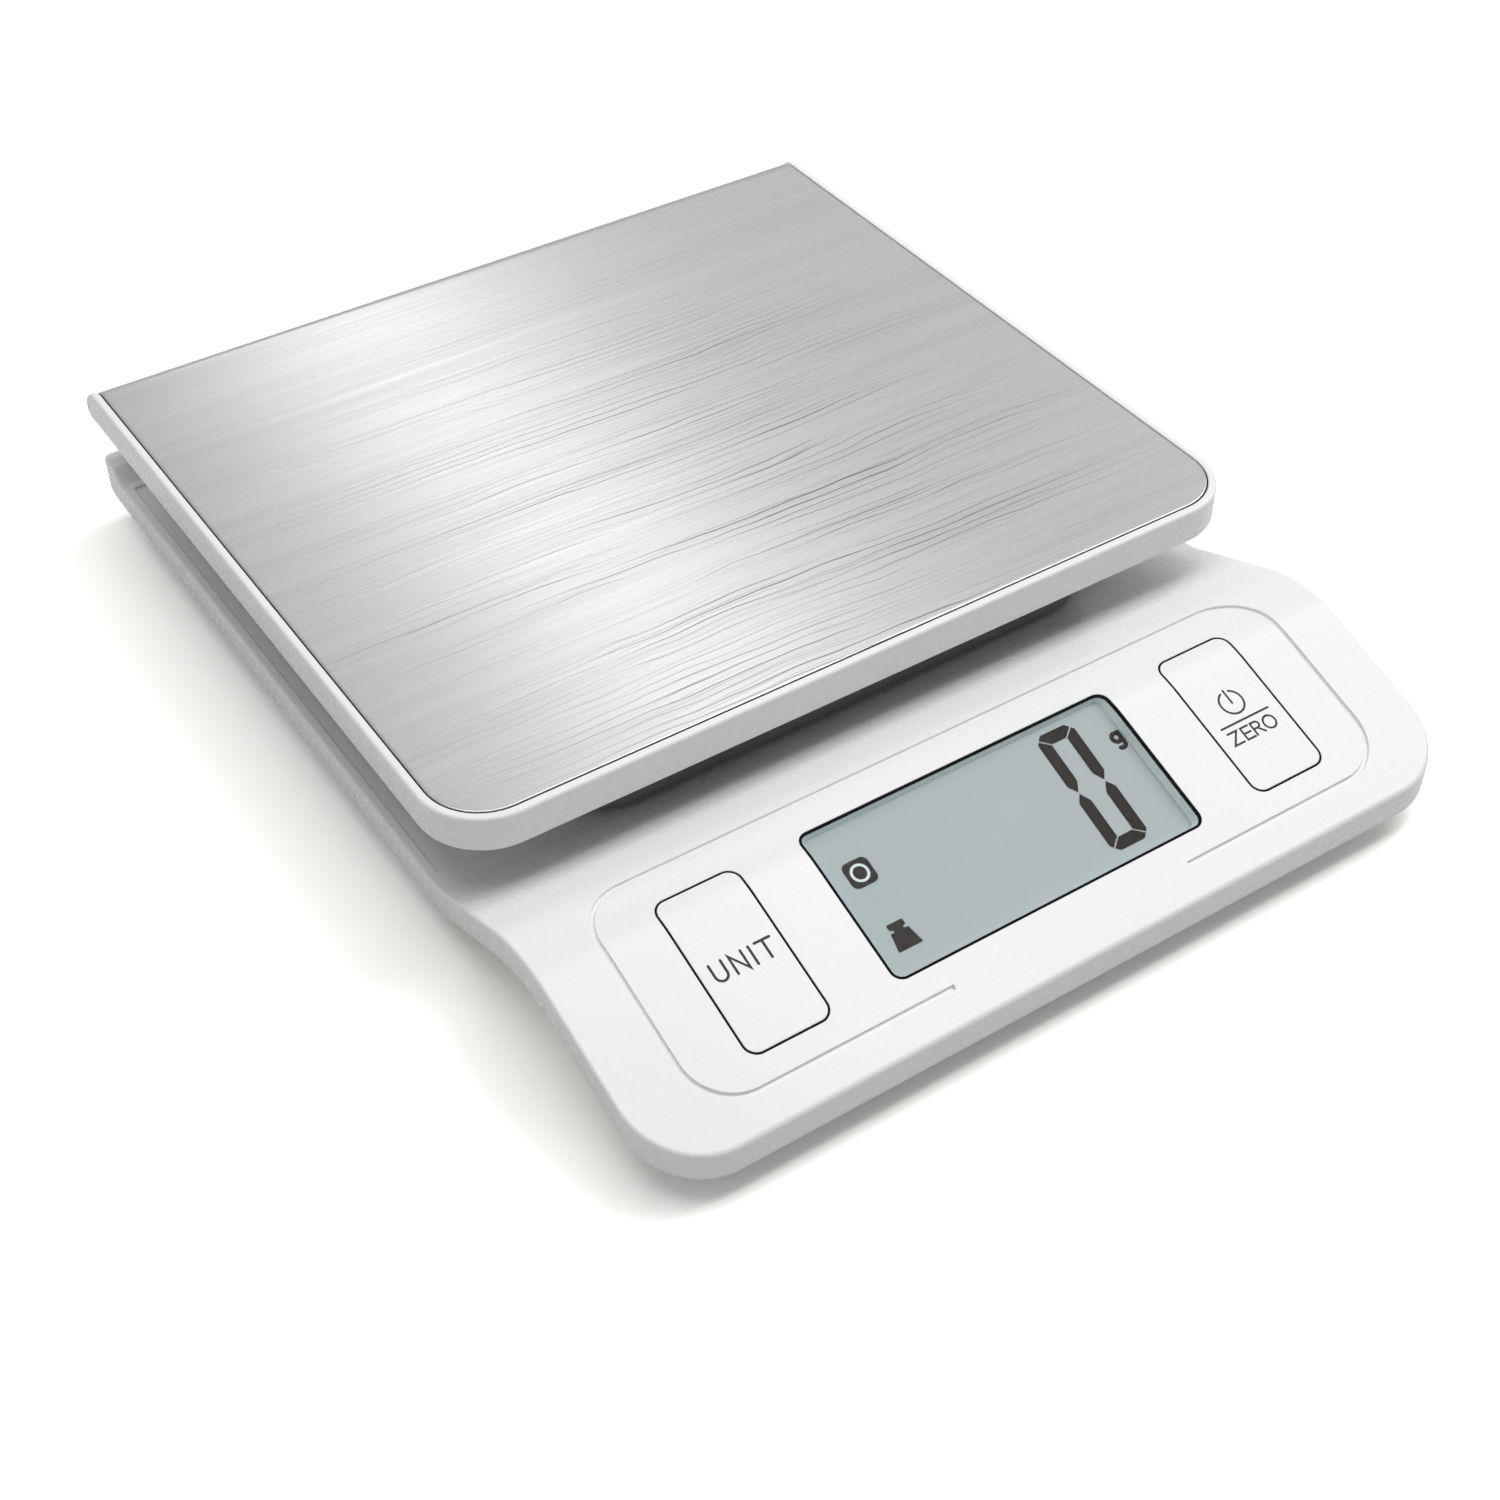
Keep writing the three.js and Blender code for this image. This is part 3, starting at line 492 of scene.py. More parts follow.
def case_plastic():
    """Spark-textured moulding of the parts that face down."""
    m = Nodes("case_plastic", srgb(226, 226, 224), 0.55, Specular_IOR_Level=0.4)
    m.set("Base Color", m.colours(m.noise(30), srgb(228, 228, 226), srgb(219, 219, 217)))
    m.set("Roughness", m.spread(m.noise(900), 0.48, 0.64))
    m.set("Normal", m.bump(m.noise(3200), 0.25, 0.00006))
    return m.material


def pedestal_painted_shade():
    """Satin mid-grey moulding of the pedestal: the grey stands in place of the case plastic of its
    slot and paints the shade under the platform.
    """
    m = Nodes("pedestal_painted_shade", srgb(124, 125, 126), 0.4, Specular_IOR_Level=0.3)
    m.set("Base Color", m.colours(m.noise(40), srgb(127, 128, 129), srgb(119, 120, 121)))
    m.set("Roughness", m.spread(m.noise(700), 0.3, 0.42))
    m.set("Normal", m.bump(m.noise(2600), 0.15, 0.00005))
    return m.material


def brushed_steel():
    """Steel sheet brushed across its width, with soft strands and fine wavy hairlines."""
    m = Nodes("brushed_steel", srgb(206, 207, 207), 0.28, 1.0, Anisotropic=0.25,
              Anisotropic_Rotation=0.25)
    fine = m.noise((7, 900, 1), 2)
    tone = m.colours(m.noise((4, 190, 30)), srgb(203, 204, 205), srgb(211, 211, 210))
    tone = m.mix(m.spread(fine, 0.0, 0.12, 0.35, 0.7), tone, srgb(180, 181, 182))
    middle = m.spread(m.distance((10.5, 9.0, 0)), 1.0, 0.1, 0.35, 1.0)
    coarse_lines = hairlines(m, 0.0021, 0.21, 11, 9)
    thin_lines = m.product(hairlines(m, 0.0014, 0.2, 15, 16), 0.6)
    for lines in (coarse_lines, thin_lines):
        tone = m.mix(m.product(lines, middle), tone, srgb(54, 56, 60))
    m.set("Base Color", tone)
    m.set("Roughness", m.spread(fine, 0.26, 0.3))
    m.set("Normal", m.bump(fine, 0.03, 0.00001))
    tangent = m.add("ShaderNodeTangent", direction_type="UV_MAP", uv_map="brush")
    m.set("Tangent", tangent.outputs["Tangent"])
    return m.material


def hairlines(m, spacing, width, sway_scale, patch_scale):
    """Thin lines along X that sway together and come and go: 1 on a line and 0 between lines."""
    sway = m.spread(m.noise(sway_scale, 1), -0.006, 0.006, 0.0, 1.0)
    ripple = m.spread(m.noise((34, 110, 1), 2), -0.0016, 0.0016, 0.0, 1.0)
    place = m.total(m.total(m.axis("Y"), sway), ripple)
    beside = m.maths("PINGPONG", m.product(place, 2 / spacing), 1.0)
    patches = m.spread(m.noise((patch_scale, 15 * patch_scale, 1), 2), 0, 1, 0.44, 0.62)
    return m.product(m.spread(beside, 1, 0, 0.0, width), patches)


def metal(name, color, roughness, grain=900):
    m = Nodes(name, color, roughness, 1.0)
    m.set("Roughness", m.spread(m.noise(grain), roughness * 0.8, roughness * 1.3))
    dull = tuple(0.86 * c for c in color[:3]) + (1.0,)
    m.set("Base Color", m.colours(m.noise(160), color, dull, 0.3, 0.75))
    m.set("Normal", m.bump(m.noise(grain * 2, 2), 0.12, 0.00003))
    return m.material


def rubber():
    m = Nodes("rubber", srgb(48, 49, 51), 0.8, Specular_IOR_Level=0.3)
    m.set("Base Color", m.colours(m.noise(300, 4), srgb(42, 43, 45), srgb(58, 59, 60)))
    m.set("Normal", m.bump(m.noise(1800), 0.3, 0.0001))
    return m.material


def black_plastic():
    m = Nodes("black_plastic", srgb(22, 22, 24), 0.5)
    m.set("Roughness", m.spread(m.noise(500), 0.4, 0.6))
    m.set("Normal", m.bump(m.noise(2400, 2), 0.15, 0.00005))
    return m.material


def lcd_glass():
    """Grey reflective display with a faint polariser grain."""
    m = Nodes("lcd_glass", srgb(179, 190, 191), 0.4, Specular_IOR_Level=0.08)
    grain = m.noise(2200, 2)
    wash = m.colours(m.noise(26, 2), srgb(177, 189, 190), srgb(183, 192, 193))
    m.set("Base Color", m.mix(m.spread(grain, 0.0, 0.12), wash, srgb(157, 172, 172)))
    m.set("Roughness", m.spread(grain, 0.3, 0.42))
    return m.material


def clear_lens():
    m = Nodes("clear_lens", srgb(120, 124, 126), 0.08, Alpha=0.04, Specular_IOR_Level=0.5)
    m.set("Roughness", m.spread(m.noise(80, 2), 0.04, 0.09))
    return m.material


def ink(name, low, high, roughness, gloss, grain):
    """Matt ink, a little uneven."""
    m = Nodes(name, low, roughness, Specular_IOR_Level=gloss)
    m.set("Base Color", m.colours(m.noise(grain, 2), low, high))
    return m.material


def matt(name, color, rough_low, rough_high, grain, **inputs):
    """One colour with an uneven sheen."""
    m = Nodes(name, color, rough_high, **inputs)
    m.set("Roughness", m.spread(m.noise(grain, 2), rough_low, rough_high))
    return m.material


def circuit_board():
    m = Nodes("circuit_board", srgb(38, 104, 66), 0.4)
    tracks = m.add("ShaderNodeTexBrick")
    tracks.inputs["Scale"].default_value = 260
    tracks.inputs["Color1"].default_value = srgb(38, 104, 66)
    tracks.inputs["Color2"].default_value = srgb(46, 120, 76)
    tracks.inputs["Mortar"].default_value = srgb(70, 140, 92)
    m.link(m.position, tracks.inputs["Vector"])
    m.set("Base Color", tracks.outputs["Color"])
    return m.material


def cell_wrap():
    """Plain battery wrap: dark body and a lighter band at the plus end."""
    m = Nodes("cell_wrap", srgb(52, 66, 80), 0.35, 0.2)
    along = m.spread(m.axis("X"), 0, 1, -0.022, 0.022)
    m.set("Base Color", m.colours(along, srgb(48, 62, 76), srgb(196, 150, 84), 0.77, 0.79))
    m.set("Roughness", m.spread(m.noise(300, 2), 0.3, 0.42))
    return m.material


MATERIALS = {
    "white_plastic": white_plastic(),
    "case_plastic": case_plastic(),
    "brushed_steel": brushed_steel(),
    "zinc_steel": metal("zinc_steel", srgb(186, 188, 190), 0.32),
    "aluminium": metal("aluminium", srgb(200, 202, 204), 0.42, 600),
    "rubber": rubber(),
    "clear_lens": clear_lens(),
    "lcd_glass": lcd_glass(),
    "black_plastic": black_plastic(),
    "circuit_board": circuit_board(),
    "spring_contact": metal("spring_contact", srgb(214, 211, 200), 0.25, 700),
    "cell_wrap": cell_wrap(),
    "black_lead": matt("black_lead", srgb(26, 26, 28), 0.42, 0.6, 700),
    "red_lead": matt("red_lead", srgb(150, 44, 36), 0.42, 0.6, 700),
}
# Grey that paints the shade under the platform onto the pedestal.
PEDESTAL_SHADE_GREY = pedestal_painted_shade()
LCD_INK = ink("lcd_ink", srgb(50, 42, 39), srgb(38, 34, 32), 0.6, 0.02, 900)
PRINT_INK = ink("print_ink", srgb(52, 52, 54), srgb(62, 62, 64), 0.5, 0.15, 1500)
# Near-black of the rings in the gaps round the keys, the window and the plate: painted shade of the
# gaps.
GAP_SHADE_BLACK = matt("painted_gap_shade", srgb(14, 14, 15), 0.6, 0.8, 600, Specular_IOR_Level=0.05)
PALE_BLUE = matt("lcd_surround", srgb(226, 240, 240), 0.45, 0.55, 500, Specular_IOR_Level=0.1)


def dress_cad_nodes():
    """Every CAD node that stays in view gets its slot's procedural material."""
    for part in frame["record"]["subparts"]:
        mesh = frame["nodes"][part["node"]].data
        mesh.materials.clear()
        mesh.materials.append(MATERIALS[part["material_slot"]])


def finish_piece(obj, body, slot, *nodes, material=None):
    obj.data.materials.clear()
    obj.data.materials.append(material or MATERIALS[slot])
    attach(obj, body)
    if nodes:
        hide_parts(*nodes)
    return obj


# ---------------------------------------------------------------- base top shell
BASE_AREA = (BASE_LOW.x, BASE_HIGH.x, BASE_LOW.y, BASE_HIGH.y, BASE_CORNER_R)
BASE_SIDE = stations(BASE_LOW.y + BASE_CORNER_R + 0.4, BASE_HIGH.y - 3.4, 8)


def base_under(y):
    """Height of the shell's lower edge."""
    under = (wave(y) if y < RAMP_FOOT_Y + 20 else TROUGH_Z) - SHELL_H
    past = y - (BASE_HIGH.y - BASE_REAR_UNDER_R)
    if past > 0:
        under += BASE_REAR_UNDER_R - math.sqrt(max(BASE_REAR_UNDER_R ** 2 - past ** 2, 0))
    return under


def base_ring(inset, depth, from_below=False):
    points = []
    for x, y in outline(BASE_AREA, inset, rear_r=BASE_REAR_R, side=BASE_SIDE, steps=14):
        z = base_under(y) + depth if from_below else wave(y) - depth
        points.append((x, y, z))
    return points


def panel_cutter(area, chamfer=0.1, above=1.5, below=14):
    """Straight hole through the panel, with a small chamfer round its top."""
    levels = [(-chamfer - above, -above), (0, chamfer), (0, below)]
    return loft("cutter", panel_rings(area, levels))


def groove_cutter():
    """Ring channel with steep sides, broken at the front."""
    profile = [(GROOVE_HALF_W + 0.12, -0.4), (GROOVE_HALF_W, 0.1),
               (GROOVE_HALF_W - 0.16, GROOVE_DEPTH)]
    levels = [(-w, depth) for w, depth in profile] + profile[::-1]
    ring = loft("cutter", panel_rings(GROOVE, levels, steps=14), capped=False, closed=True)
    around = 3
    area = (-GROOVE_BREAK, GROOVE_BREAK, GROOVE[2] - around, GROOVE[2] + around, 0.2)
    gap = loft("gap", panel_rings(area, [(0, -around), (0, around)], plane_point, steps=2))
    return cut(ring, gap)


def trough_cutter(above=1.5, slope=0.3):
    """Sinks the trough's floor below its rim, with a sloped edge."""
    area = (BASE_LOW.x + RIM_W, BASE_HIGH.x - RIM_W, RAMP_FOOT_Y + 3, LEDGE_FOOT_Y - 2, 1.2)
    levels = [(-above, -above), (slope, slope), (slope, TROUGH_DROP)]
    return loft("cutter", [[(x, y, TROUGH_Z - depth)
                            for x, y in outline(area, inset, side=[0, 40], steps=4)]
                           for inset, depth in levels])


def post_hole_cutter():
    low, high = box_mm("load_post")
    radius = (high.x - low.x) / 2 + POST_CLEARANCE
    reach = 20
    profile = [(0, -reach), (radius, -reach), (radius, reach), (0, reach)]
    return lathe("cutter", profile, ((low.x + high.x) / 2, (low.y + high.y) / 2, TROUGH_Z))


def wave_normals(obj):
    """Exact normals on the wave surface, so that the wide strips shade without a ripple."""
    mesh = shade(obj).data
    on_wave = []
    for face in mesh.polygons:
        corners = [mesh.vertices[i].co for i in face.vertices]
        near = all(abs(p.z / MM - wave(p.y / MM)) < 0.012 for p in corners)
        on_wave.append(near and face.normal.z > 0.5)
    edge_faces = {}
    for face in mesh.polygons:
        for key in face.edge_keys:
            edge_faces.setdefault(key, []).append(face.index)
    for edge in mesh.edges:
        sides = edge_faces.get(edge.key, [])
        if len(sides) == 2 and on_wave[sides[0]] != on_wave[sides[1]]:
            edge.use_edge_sharp = True
    normals = [Vector(n.vector) for n in mesh.corner_normals]
    for face in mesh.polygons:
        if on_wave[face.index]:
            for loop in face.loop_indices:
                place = mesh.vertices[mesh.loops[loop].vertex_index].co
                normals[loop] = wave_normal(place.y / MM)
    mesh.normals_split_custom_set(normals)
    return obj


def base_top_shell():
    rings = [base_ring(SHELL_WALL + 1.2, SHELL_T), base_ring(SHELL_WALL, SHELL_T)]
    rings += [base_ring(SHELL_WALL, 1.2, True), base_ring(SHELL_WALL, 0.3, True),
              base_ring(SHELL_WALL - 0.3, 0, True), base_ring(EDGE, 0, True)]
    rings += [base_ring(inset, depth, True) for inset, depth in fillet(EDGE, hold=0, up=False)[1:]]
    rings += [base_ring(inset, depth) for inset, depth in fillet(EDGE)]
    shell = loft("base_top_shell_skin", rings)
    for area in (WINDOW, key_area(-1), key_area(1)):
        cut(shell, panel_cutter(area))
    for cutter in (groove_cutter, trough_cutter, post_hole_cutter):
        cut(shell, cutter())
    return wave_normals(shell)


# ---------------------------------------------------------------- keys and display
def key_cap(name, side):
    """Hollow cap with a flange that holds it under the panel, and a stem over its switch."""
    inner = KEY_GAP + KEY_WALL
    chamfer = 0.2
    levels = [(inner + 0.8, KEY_TOP_T), (inner, KEY_TOP_T), (inner, KEY_BOTTOM - 0.1),
              (inner - 0.4, KEY_BOTTOM), (chamfer - KEY_FLANGE_W, KEY_BOTTOM),
              (-KEY_FLANGE_W, KEY_BOTTOM - chamfer), (-KEY_FLANGE_W, KEY_FLANGE_TOP + chamfer),
              (chamfer - KEY_FLANGE_W, KEY_FLANGE_TOP), (KEY_GAP, KEY_FLANGE_TOP)]
    levels += [(KEY_GAP + inset, depth) for inset, depth in fillet(0.12, steps=3, hold=0.25)]
    cap = loft(name, panel_rings(key_area(side), levels))
    stem_profile = [(0, 0), (KEY_STEM_R - chamfer, 0), (KEY_STEM_R, chamfer),
                    (KEY_STEM_R, KEY_STEM_H), (0, KEY_STEM_H)]
    stem_foot = plane_point(side * KEY_X, KEY_STEM_V, KEY_STEM_DEPTH)
    stem = lathe("stem", stem_profile, stem_foot, PANEL_OUT, sides=28)
    return shade(join(name, [cap, stem]))


def lens():
    levels = [(LENS_GAP + 1.0, LENS_T), (LENS_GAP, LENS_T)]
    levels += [(LENS_GAP + inset, depth) for inset, depth in fillet(0.12, steps=3, hold=0.3)]
    return loft("lcd_lens_pane", panel_rings(WINDOW, levels))


def dark_gap_fill(name, area, gap, bottom, edge=0.01):
    """Thin dark ring in the joint between an opening and what sits in it: painted shade, so that
    the gap reads as a dark line.
    """
    inner = gap - GAP_FILL_PLAY
    levels = [(edge, GAP_FILL_TOP), (inner, GAP_FILL_TOP), (inner, bottom), (edge, bottom)]
    return loft(name, panel_rings(area, levels), capped=False, closed=True)


def lcd_surround():
    """Tinted slope from the dark gap fill down to the display glass."""
    outer = 0.05
    foot = 1.3
    top = WINDOW_GAP_FILL_BOTTOM + 0.04
    bottom = GLASS_DEPTH - 0.1
    levels = [(outer, top), (LENS_GAP, top), (foot, bottom), (outer, bottom)]
    return loft("lcd_surround", panel_rings(WINDOW, levels), capped=False, closed=True)


def display_pane():
    x0, x1, v0, v1, radius = WINDOW
    area = (x0 + 0.5, x1 - 0.5, v0 + 0.5, v1 - 0.5, radius - 0.4)
    levels = [(0.8, GLASS_BOTTOM), (0, GLASS_BOTTOM), (0, GLASS_DEPTH + 0.12),
              (0.12, GLASS_DEPTH), (0.6, GLASS_DEPTH)]
    return loft("lcd_pane", panel_rings(area, levels, plane_point))


def flat_shape(name, loops, depth, thickness, to_point=plane_point):
    """Thin printed shape: each loop of (x, v) is a face, raised by a thickness."""
    points = []
    faces = []
    for loop in loops:
        start = len(points)
        count = len(loop)
        points += [to_point(x, v, depth) for x, v in loop]
        points += [to_point(x, v, depth - thickness) for x, v in loop]
        faces.append(tuple(range(start, start + count)))
        faces.append(tuple(range(start + count, start + 2 * count)))
        for i in range(count):
            j = (i + 1) % count
            faces.append((start + i, start + j, start + count + j, start + count + i))
    obj = make_object(name, make_mesh(name, points, faces))
    for face in obj.data.polygons:
        face.use_smooth = False
    return obj


def ribbon(line, width, cap_steps=6):
    """Outline of a pen stroke along a line of (x, v) points, with round ends."""
    half = width / 2
    pts = [Vector(p) for p in line]
    left = []
    right = []
    for i, here in enumerate(pts):
        before = (here - pts[i - 1]).normalized() if i else None
        after = (pts[i + 1] - here).normalized() if i + 1 < len(pts) else None
        along = ((before or after) + (after or before)).normalized()
        across = Vector((-along.y, along.x))
        squeeze = max(across.dot(Vector((-(after or before).y, (after or before).x))), 0.35)
        left.append(here + across * half / squeeze)
        right.append(here - across * half / squeeze)

    def cap(centre, start):
        turn = math.atan2(start.y - centre.y, start.x - centre.x)
        angles = [turn - math.pi * k / cap_steps for k in range(1, cap_steps)]
        return [centre + Vector((math.cos(a), math.sin(a))) * half for a in angles]

    loop = left + cap(pts[-1], left[-1]) + right[::-1] + cap(pts[0], right[0])
    return [(p.x, p.y) for p in loop]


def arc(centre, radius_x, radius_v, start, end, steps=24):
    """Points on an ellipse between two angles in degrees."""
    turns = [math.radians(start + (end - start) * i / steps) for i in range(steps + 1)]
    return [(centre[0] + radius_x * math.cos(t), centre[1] + radius_v * math.sin(t)) for t in turns]


def digit_segments(x0, x1, v0, v1, bar, lean, gap=0.16, chamfer=1.5):
    """The six lit bars of a seven-segment nought, with cut outer corners and pointed waists."""
    middle = (v0 + v1) / 2

    def lean_over(x, v):
        return (x + (v - v1) * lean, v)

    def upper(sign, top, outer, inner):
        far = outer + sign * bar
        return [lean_over(*p) for p in (
            (outer, top - chamfer * 1.2), (outer + sign * 0.55, top - chamfer * 0.75),
            (far, top - bar - gap), (far, inner + bar * 0.9),
            (outer + sign * bar * 0.5, inner + gap), (outer, inner + bar * 0.75))]

    top_bar = [(x0 + 0.75, v1 - chamfer * 0.6), (x0 + chamfer + 0.2, v1),
               (x1 - chamfer - 0.2, v1), (x1 - 0.75, v1 - chamfer * 0.6),
               (x1 - bar - gap, v1 - bar), (x0 + bar + gap, v1 - bar)]
    loops = [[lean_over(x, v) for x, v in top_bar]]
    loops.append([lean_over(x, v0 + v1 - v) for x, v in top_bar])
    for sign, outer in ((1, x0), (-1, x1)):
        bar_up = upper(sign, v1, outer, middle)
        loops.append(bar_up)
        loops.append([(x + (2 * (middle - v)) * lean, 2 * middle - v) for x, v in bar_up])
    return loops


def ring_loops(centre, outer, inner, pieces=24):
    """A flat ring as quads."""
    loops = []
    for i in range(pieces):
        a = 2 * math.pi * i / pieces
        b = 2 * math.pi * (i + 1) / pieces
        corners = ((outer, a), (outer, b), (inner, b), (inner, a))
        loops.append([(centre[0] + radius * math.cos(turn), centre[1] + radius * math.sin(turn))
                      for radius, turn in corners])
    return loops


RING_SIGN = (-29.95, -9.8)


def display_marks():
    """Nought, gram sign, a stable ring sign and a weight sign, all generic."""
    loops = digit_segments(18.9, 28.3, -29.5, -0.6, 2.75, 0.03)
    gram_bowl = arc((34.85, -8.0), 0.98, 1.0, 0, 360, 18)
    gram_tail = [(35.85, -6.95), (35.85, -9.6)] + arc((34.85, -9.6), 1.0, 0.95, 0, -125, 10)[1:]
    loops += [ribbon(stroke, 1.0) for stroke in (gram_bowl, gram_tail)]
    x, v = RING_SIGN
    half = 2.95
    loops.append(outline((x - half, x + half, v - half, v + half, 1.4), steps=5))
    middle = -30.05
    for top, foot, wide in ((-21.6, -22.95, 1.85), (-22.95, -23.5, 1.15)):
        loops.append([(middle - wide, top), (middle + wide, top),
                      (middle + wide, foot), (middle - wide, foot)])
    loops.append([(-32.1, -23.5), (-28.0, -23.5), (-27.2, -27.5), (-32.8, -27.5)])
    marks = flat_shape("lcd_marks", loops, GLASS_DEPTH - 0.01, 0.03)
    pale = flat_shape("lcd_ring", ring_loops(RING_SIGN, 2.02, 1.45), GLASS_DEPTH - 0.045, 0.02)
    return marks, pale


def key_marks(name, strokes, width, lift=0.004, thickness=0.012, step=0.0025):
    """Printed strokes, each a hair higher than the last so that crossings stay clean."""
    return join(name, [flat_shape("stroke", [ribbon(stroke, width)], -lift, thickness + step * i)
                       for i, stroke in enumerate(strokes)])


def unit_strokes():
    top, foot = -13.9, -17.8
    curve = arc((-66.05, foot + 1.35), 1.3, 1.35, 180, 360, 16)
    letter_u = [(-67.35, top)] + curve + [(-64.75, top)]
    letter_n = [(-63.1, foot), (-63.1, top), (-60.4, foot), (-60.4, top)]
    return [letter_u, letter_n, [(-58.7, top), (-58.7, foot)], [(-57.3, top), (-54.0, top)],
            [(-55.65, top - 0.2), (-55.65, foot)]]


def zero_strokes():
    top, foot = -18.9, -21.8
    middle = (top + foot) / 2
    letter_z = [(54.9, top), (57.2, top), (54.8, foot), (57.3, foot)]
    letter_e = [(60.2, top), (58.25, top), (58.25, foot), (60.3, foot)]
    letter_r = [(60.9, foot), (60.9, top)] + arc((62.0, top - 0.72), 0.75, 0.72, 90, -90, 10)
    letter_r.append((60.9, middle))
    leg = [(61.9, middle), (63.1, foot)]
    letter_o = arc((65.2, middle), 1.45, 1.5, 90, 450, 28)
    power = arc((60.8, -13.0), 2.75, 2.75, 112, 428, 36)
    power_bar = [(60.8, -9.9), (60.8, -13.2)]
    line = [(54.5, -17.4), (67.1, -17.4)]
    return [letter_z, letter_e, [(58.3, middle), (60.0, middle)], letter_r, leg, letter_o, power,
            power_bar, line]


# ---------------------------------------------------------------- platform
PLATE_BEND_R = 6.4
PLATE_T = 1.0
PLATE_CORNER_R = 12.4
REAR_CORNER_R = 0.25
PLATE_FLAT = PLATE_HIGH.y - PLATE_BEND_R - PLATE_LOW.y
PLATE_ARC = PLATE_BEND_R * math.pi / 2
PLATE_LENGTH = PLATE_FLAT + PLATE_ARC + (PLATE_HIGH.z - PLATE_BEND_R - PLATE_LOW.z)
PLATE_BEND = spaced(PLATE_FLAT, PLATE_FLAT + PLATE_ARC, 20)


def plate_point(x, along, depth):
    """Point of the unrolled plate, along from its front edge, bent down at the rear."""
    bend_y = PLATE_HIGH.y - PLATE_BEND_R
    bend_z = PLATE_HIGH.z - PLATE_BEND_R
    past = along - PLATE_FLAT
    radius = PLATE_BEND_R - depth
    if past <= 0:
        return Vector((x, PLATE_LOW.y + along, PLATE_HIGH.z - depth))
    if past <= PLATE_ARC:
        turn = past / PLATE_BEND_R
        return Vector((x, bend_y + radius * math.sin(turn), bend_z + radius * math.cos(turn)))
    return Vector((x, bend_y + radius, bend_z - (past - PLATE_ARC)))


def plate_rings(levels, steps=14):
    area = (PLATE_LOW.x, PLATE_HIGH.x, 0, PLATE_LENGTH, PLATE_CORNER_R)
    side = spaced(PLATE_CORNER_R + 1, PLATE_FLAT - 1, 12) + PLATE_BEND[:-1]
    return [[plate_point(x, v, depth) for x, v in outline(area, inset, REAR_CORNER_R, side, steps)]
            for inset, depth in levels]


def platform_plate():
    levels = [(0.8, PLATE_T), (0.3, PLATE_T), (0.05, PLATE_T - 0.08), (0, PLATE_T - 0.25)]
    levels += fillet(0.22, steps=4, hold=0.5)
    plate = loft("platform_plate_skin", plate_rings(levels))
    layer = plate.data.uv_layers.new(name="brush")
    for loop in plate.data.loops:
        place = plate.data.vertices[loop.vertex_index].co
        layer.data[loop.index].uv = (place.x, place.y - place.z)
    return plate


def plate_gap_fill():
    """Dark ring in the gap round the plate, a little below its face: painted shade of the seam."""
    outer = 0.03 - GAP
    inner = -0.02
    top = 0.3
    bottom = 0.95
    levels = [(outer, top), (inner, top), (inner, bottom), (outer, bottom)]
    return loft("plate_gap_shade", plate_rings(levels), capped=False, closed=True)


FRAME_CORNER_R = 14.7
FRAME_NOSE_TOP_R = 6.0
FRAME_NOSE_UNDER_R = 2.4
FRAME_WALL = 2.6
FRAME_DECK_Z = 34.9


def frame_top(y):
    past = y - (FRAME_HIGH.y - FRAME_NOSE_TOP_R)
    if past <= 0:
        return FRAME_HIGH.z
    return FRAME_HIGH.z - FRAME_NOSE_TOP_R + math.sqrt(max(FRAME_NOSE_TOP_R ** 2 - past ** 2, 0))


def frame_under(y):
    past = y - (FRAME_HIGH.y - FRAME_NOSE_UNDER_R)
    if past <= 0:
        return FRAME_LOW.z
    return FRAME_LOW.z + FRAME_NOSE_UNDER_R - math.sqrt(max(FRAME_NOSE_UNDER_R ** 2 - past ** 2, 0))


def frame_ring(inset, share):
    """Ring of the frame's outside: share runs from 0 at the top to 1 at the lower edge."""
    area = (FRAME_LOW.x, FRAME_HIGH.x, FRAME_LOW.y, FRAME_HIGH.y, FRAME_CORNER_R)
    nose = [FRAME_HIGH.y - FRAME_NOSE_TOP_R * (1 - math.sin(math.pi / 2 * i / 16))
            for i in range(15)]
    side = [-30, 0, 30, 60, 90, 110] + nose
    ring = []
    for x, y in outline(area, inset, 0.4, side, 14):
        y = min(y + (inset if y > FRAME_HIGH.y - 3 else 0), FRAME_HIGH.y)
        top = frame_top(y)
        ring.append((x, y, top + (frame_under(y) - top) * share))
    return ring


def platform_frame():
    height = FRAME_HIGH.z - FRAME_LOW.z
    rings = [frame_ring(inset, 1 - depth / height) for inset, depth in fillet(EDGE, up=False)]
    rings += [frame_ring(inset, depth / height) for inset, depth in fillet(EDGE)]
    body = loft("platform_frame_skin", rings)
    cut(body, frame_hollow_cutter())
    return shade(cut(body, plate_seat_cutter()))


def frame_hollow_cutter():
    area = (FRAME_LOW.x + FRAME_WALL, FRAME_HIGH.x - FRAME_WALL, FRAME_LOW.y + FRAME_WALL,
            FRAME_HIGH.y - 5, 12.0)
    return loft("cutter", [[(x, y, z) for x, y in outline(area, 0, 3.0, [0, 50], 10)]
                           for z in (FRAME_LOW.z - 10, FRAME_DECK_Z)])


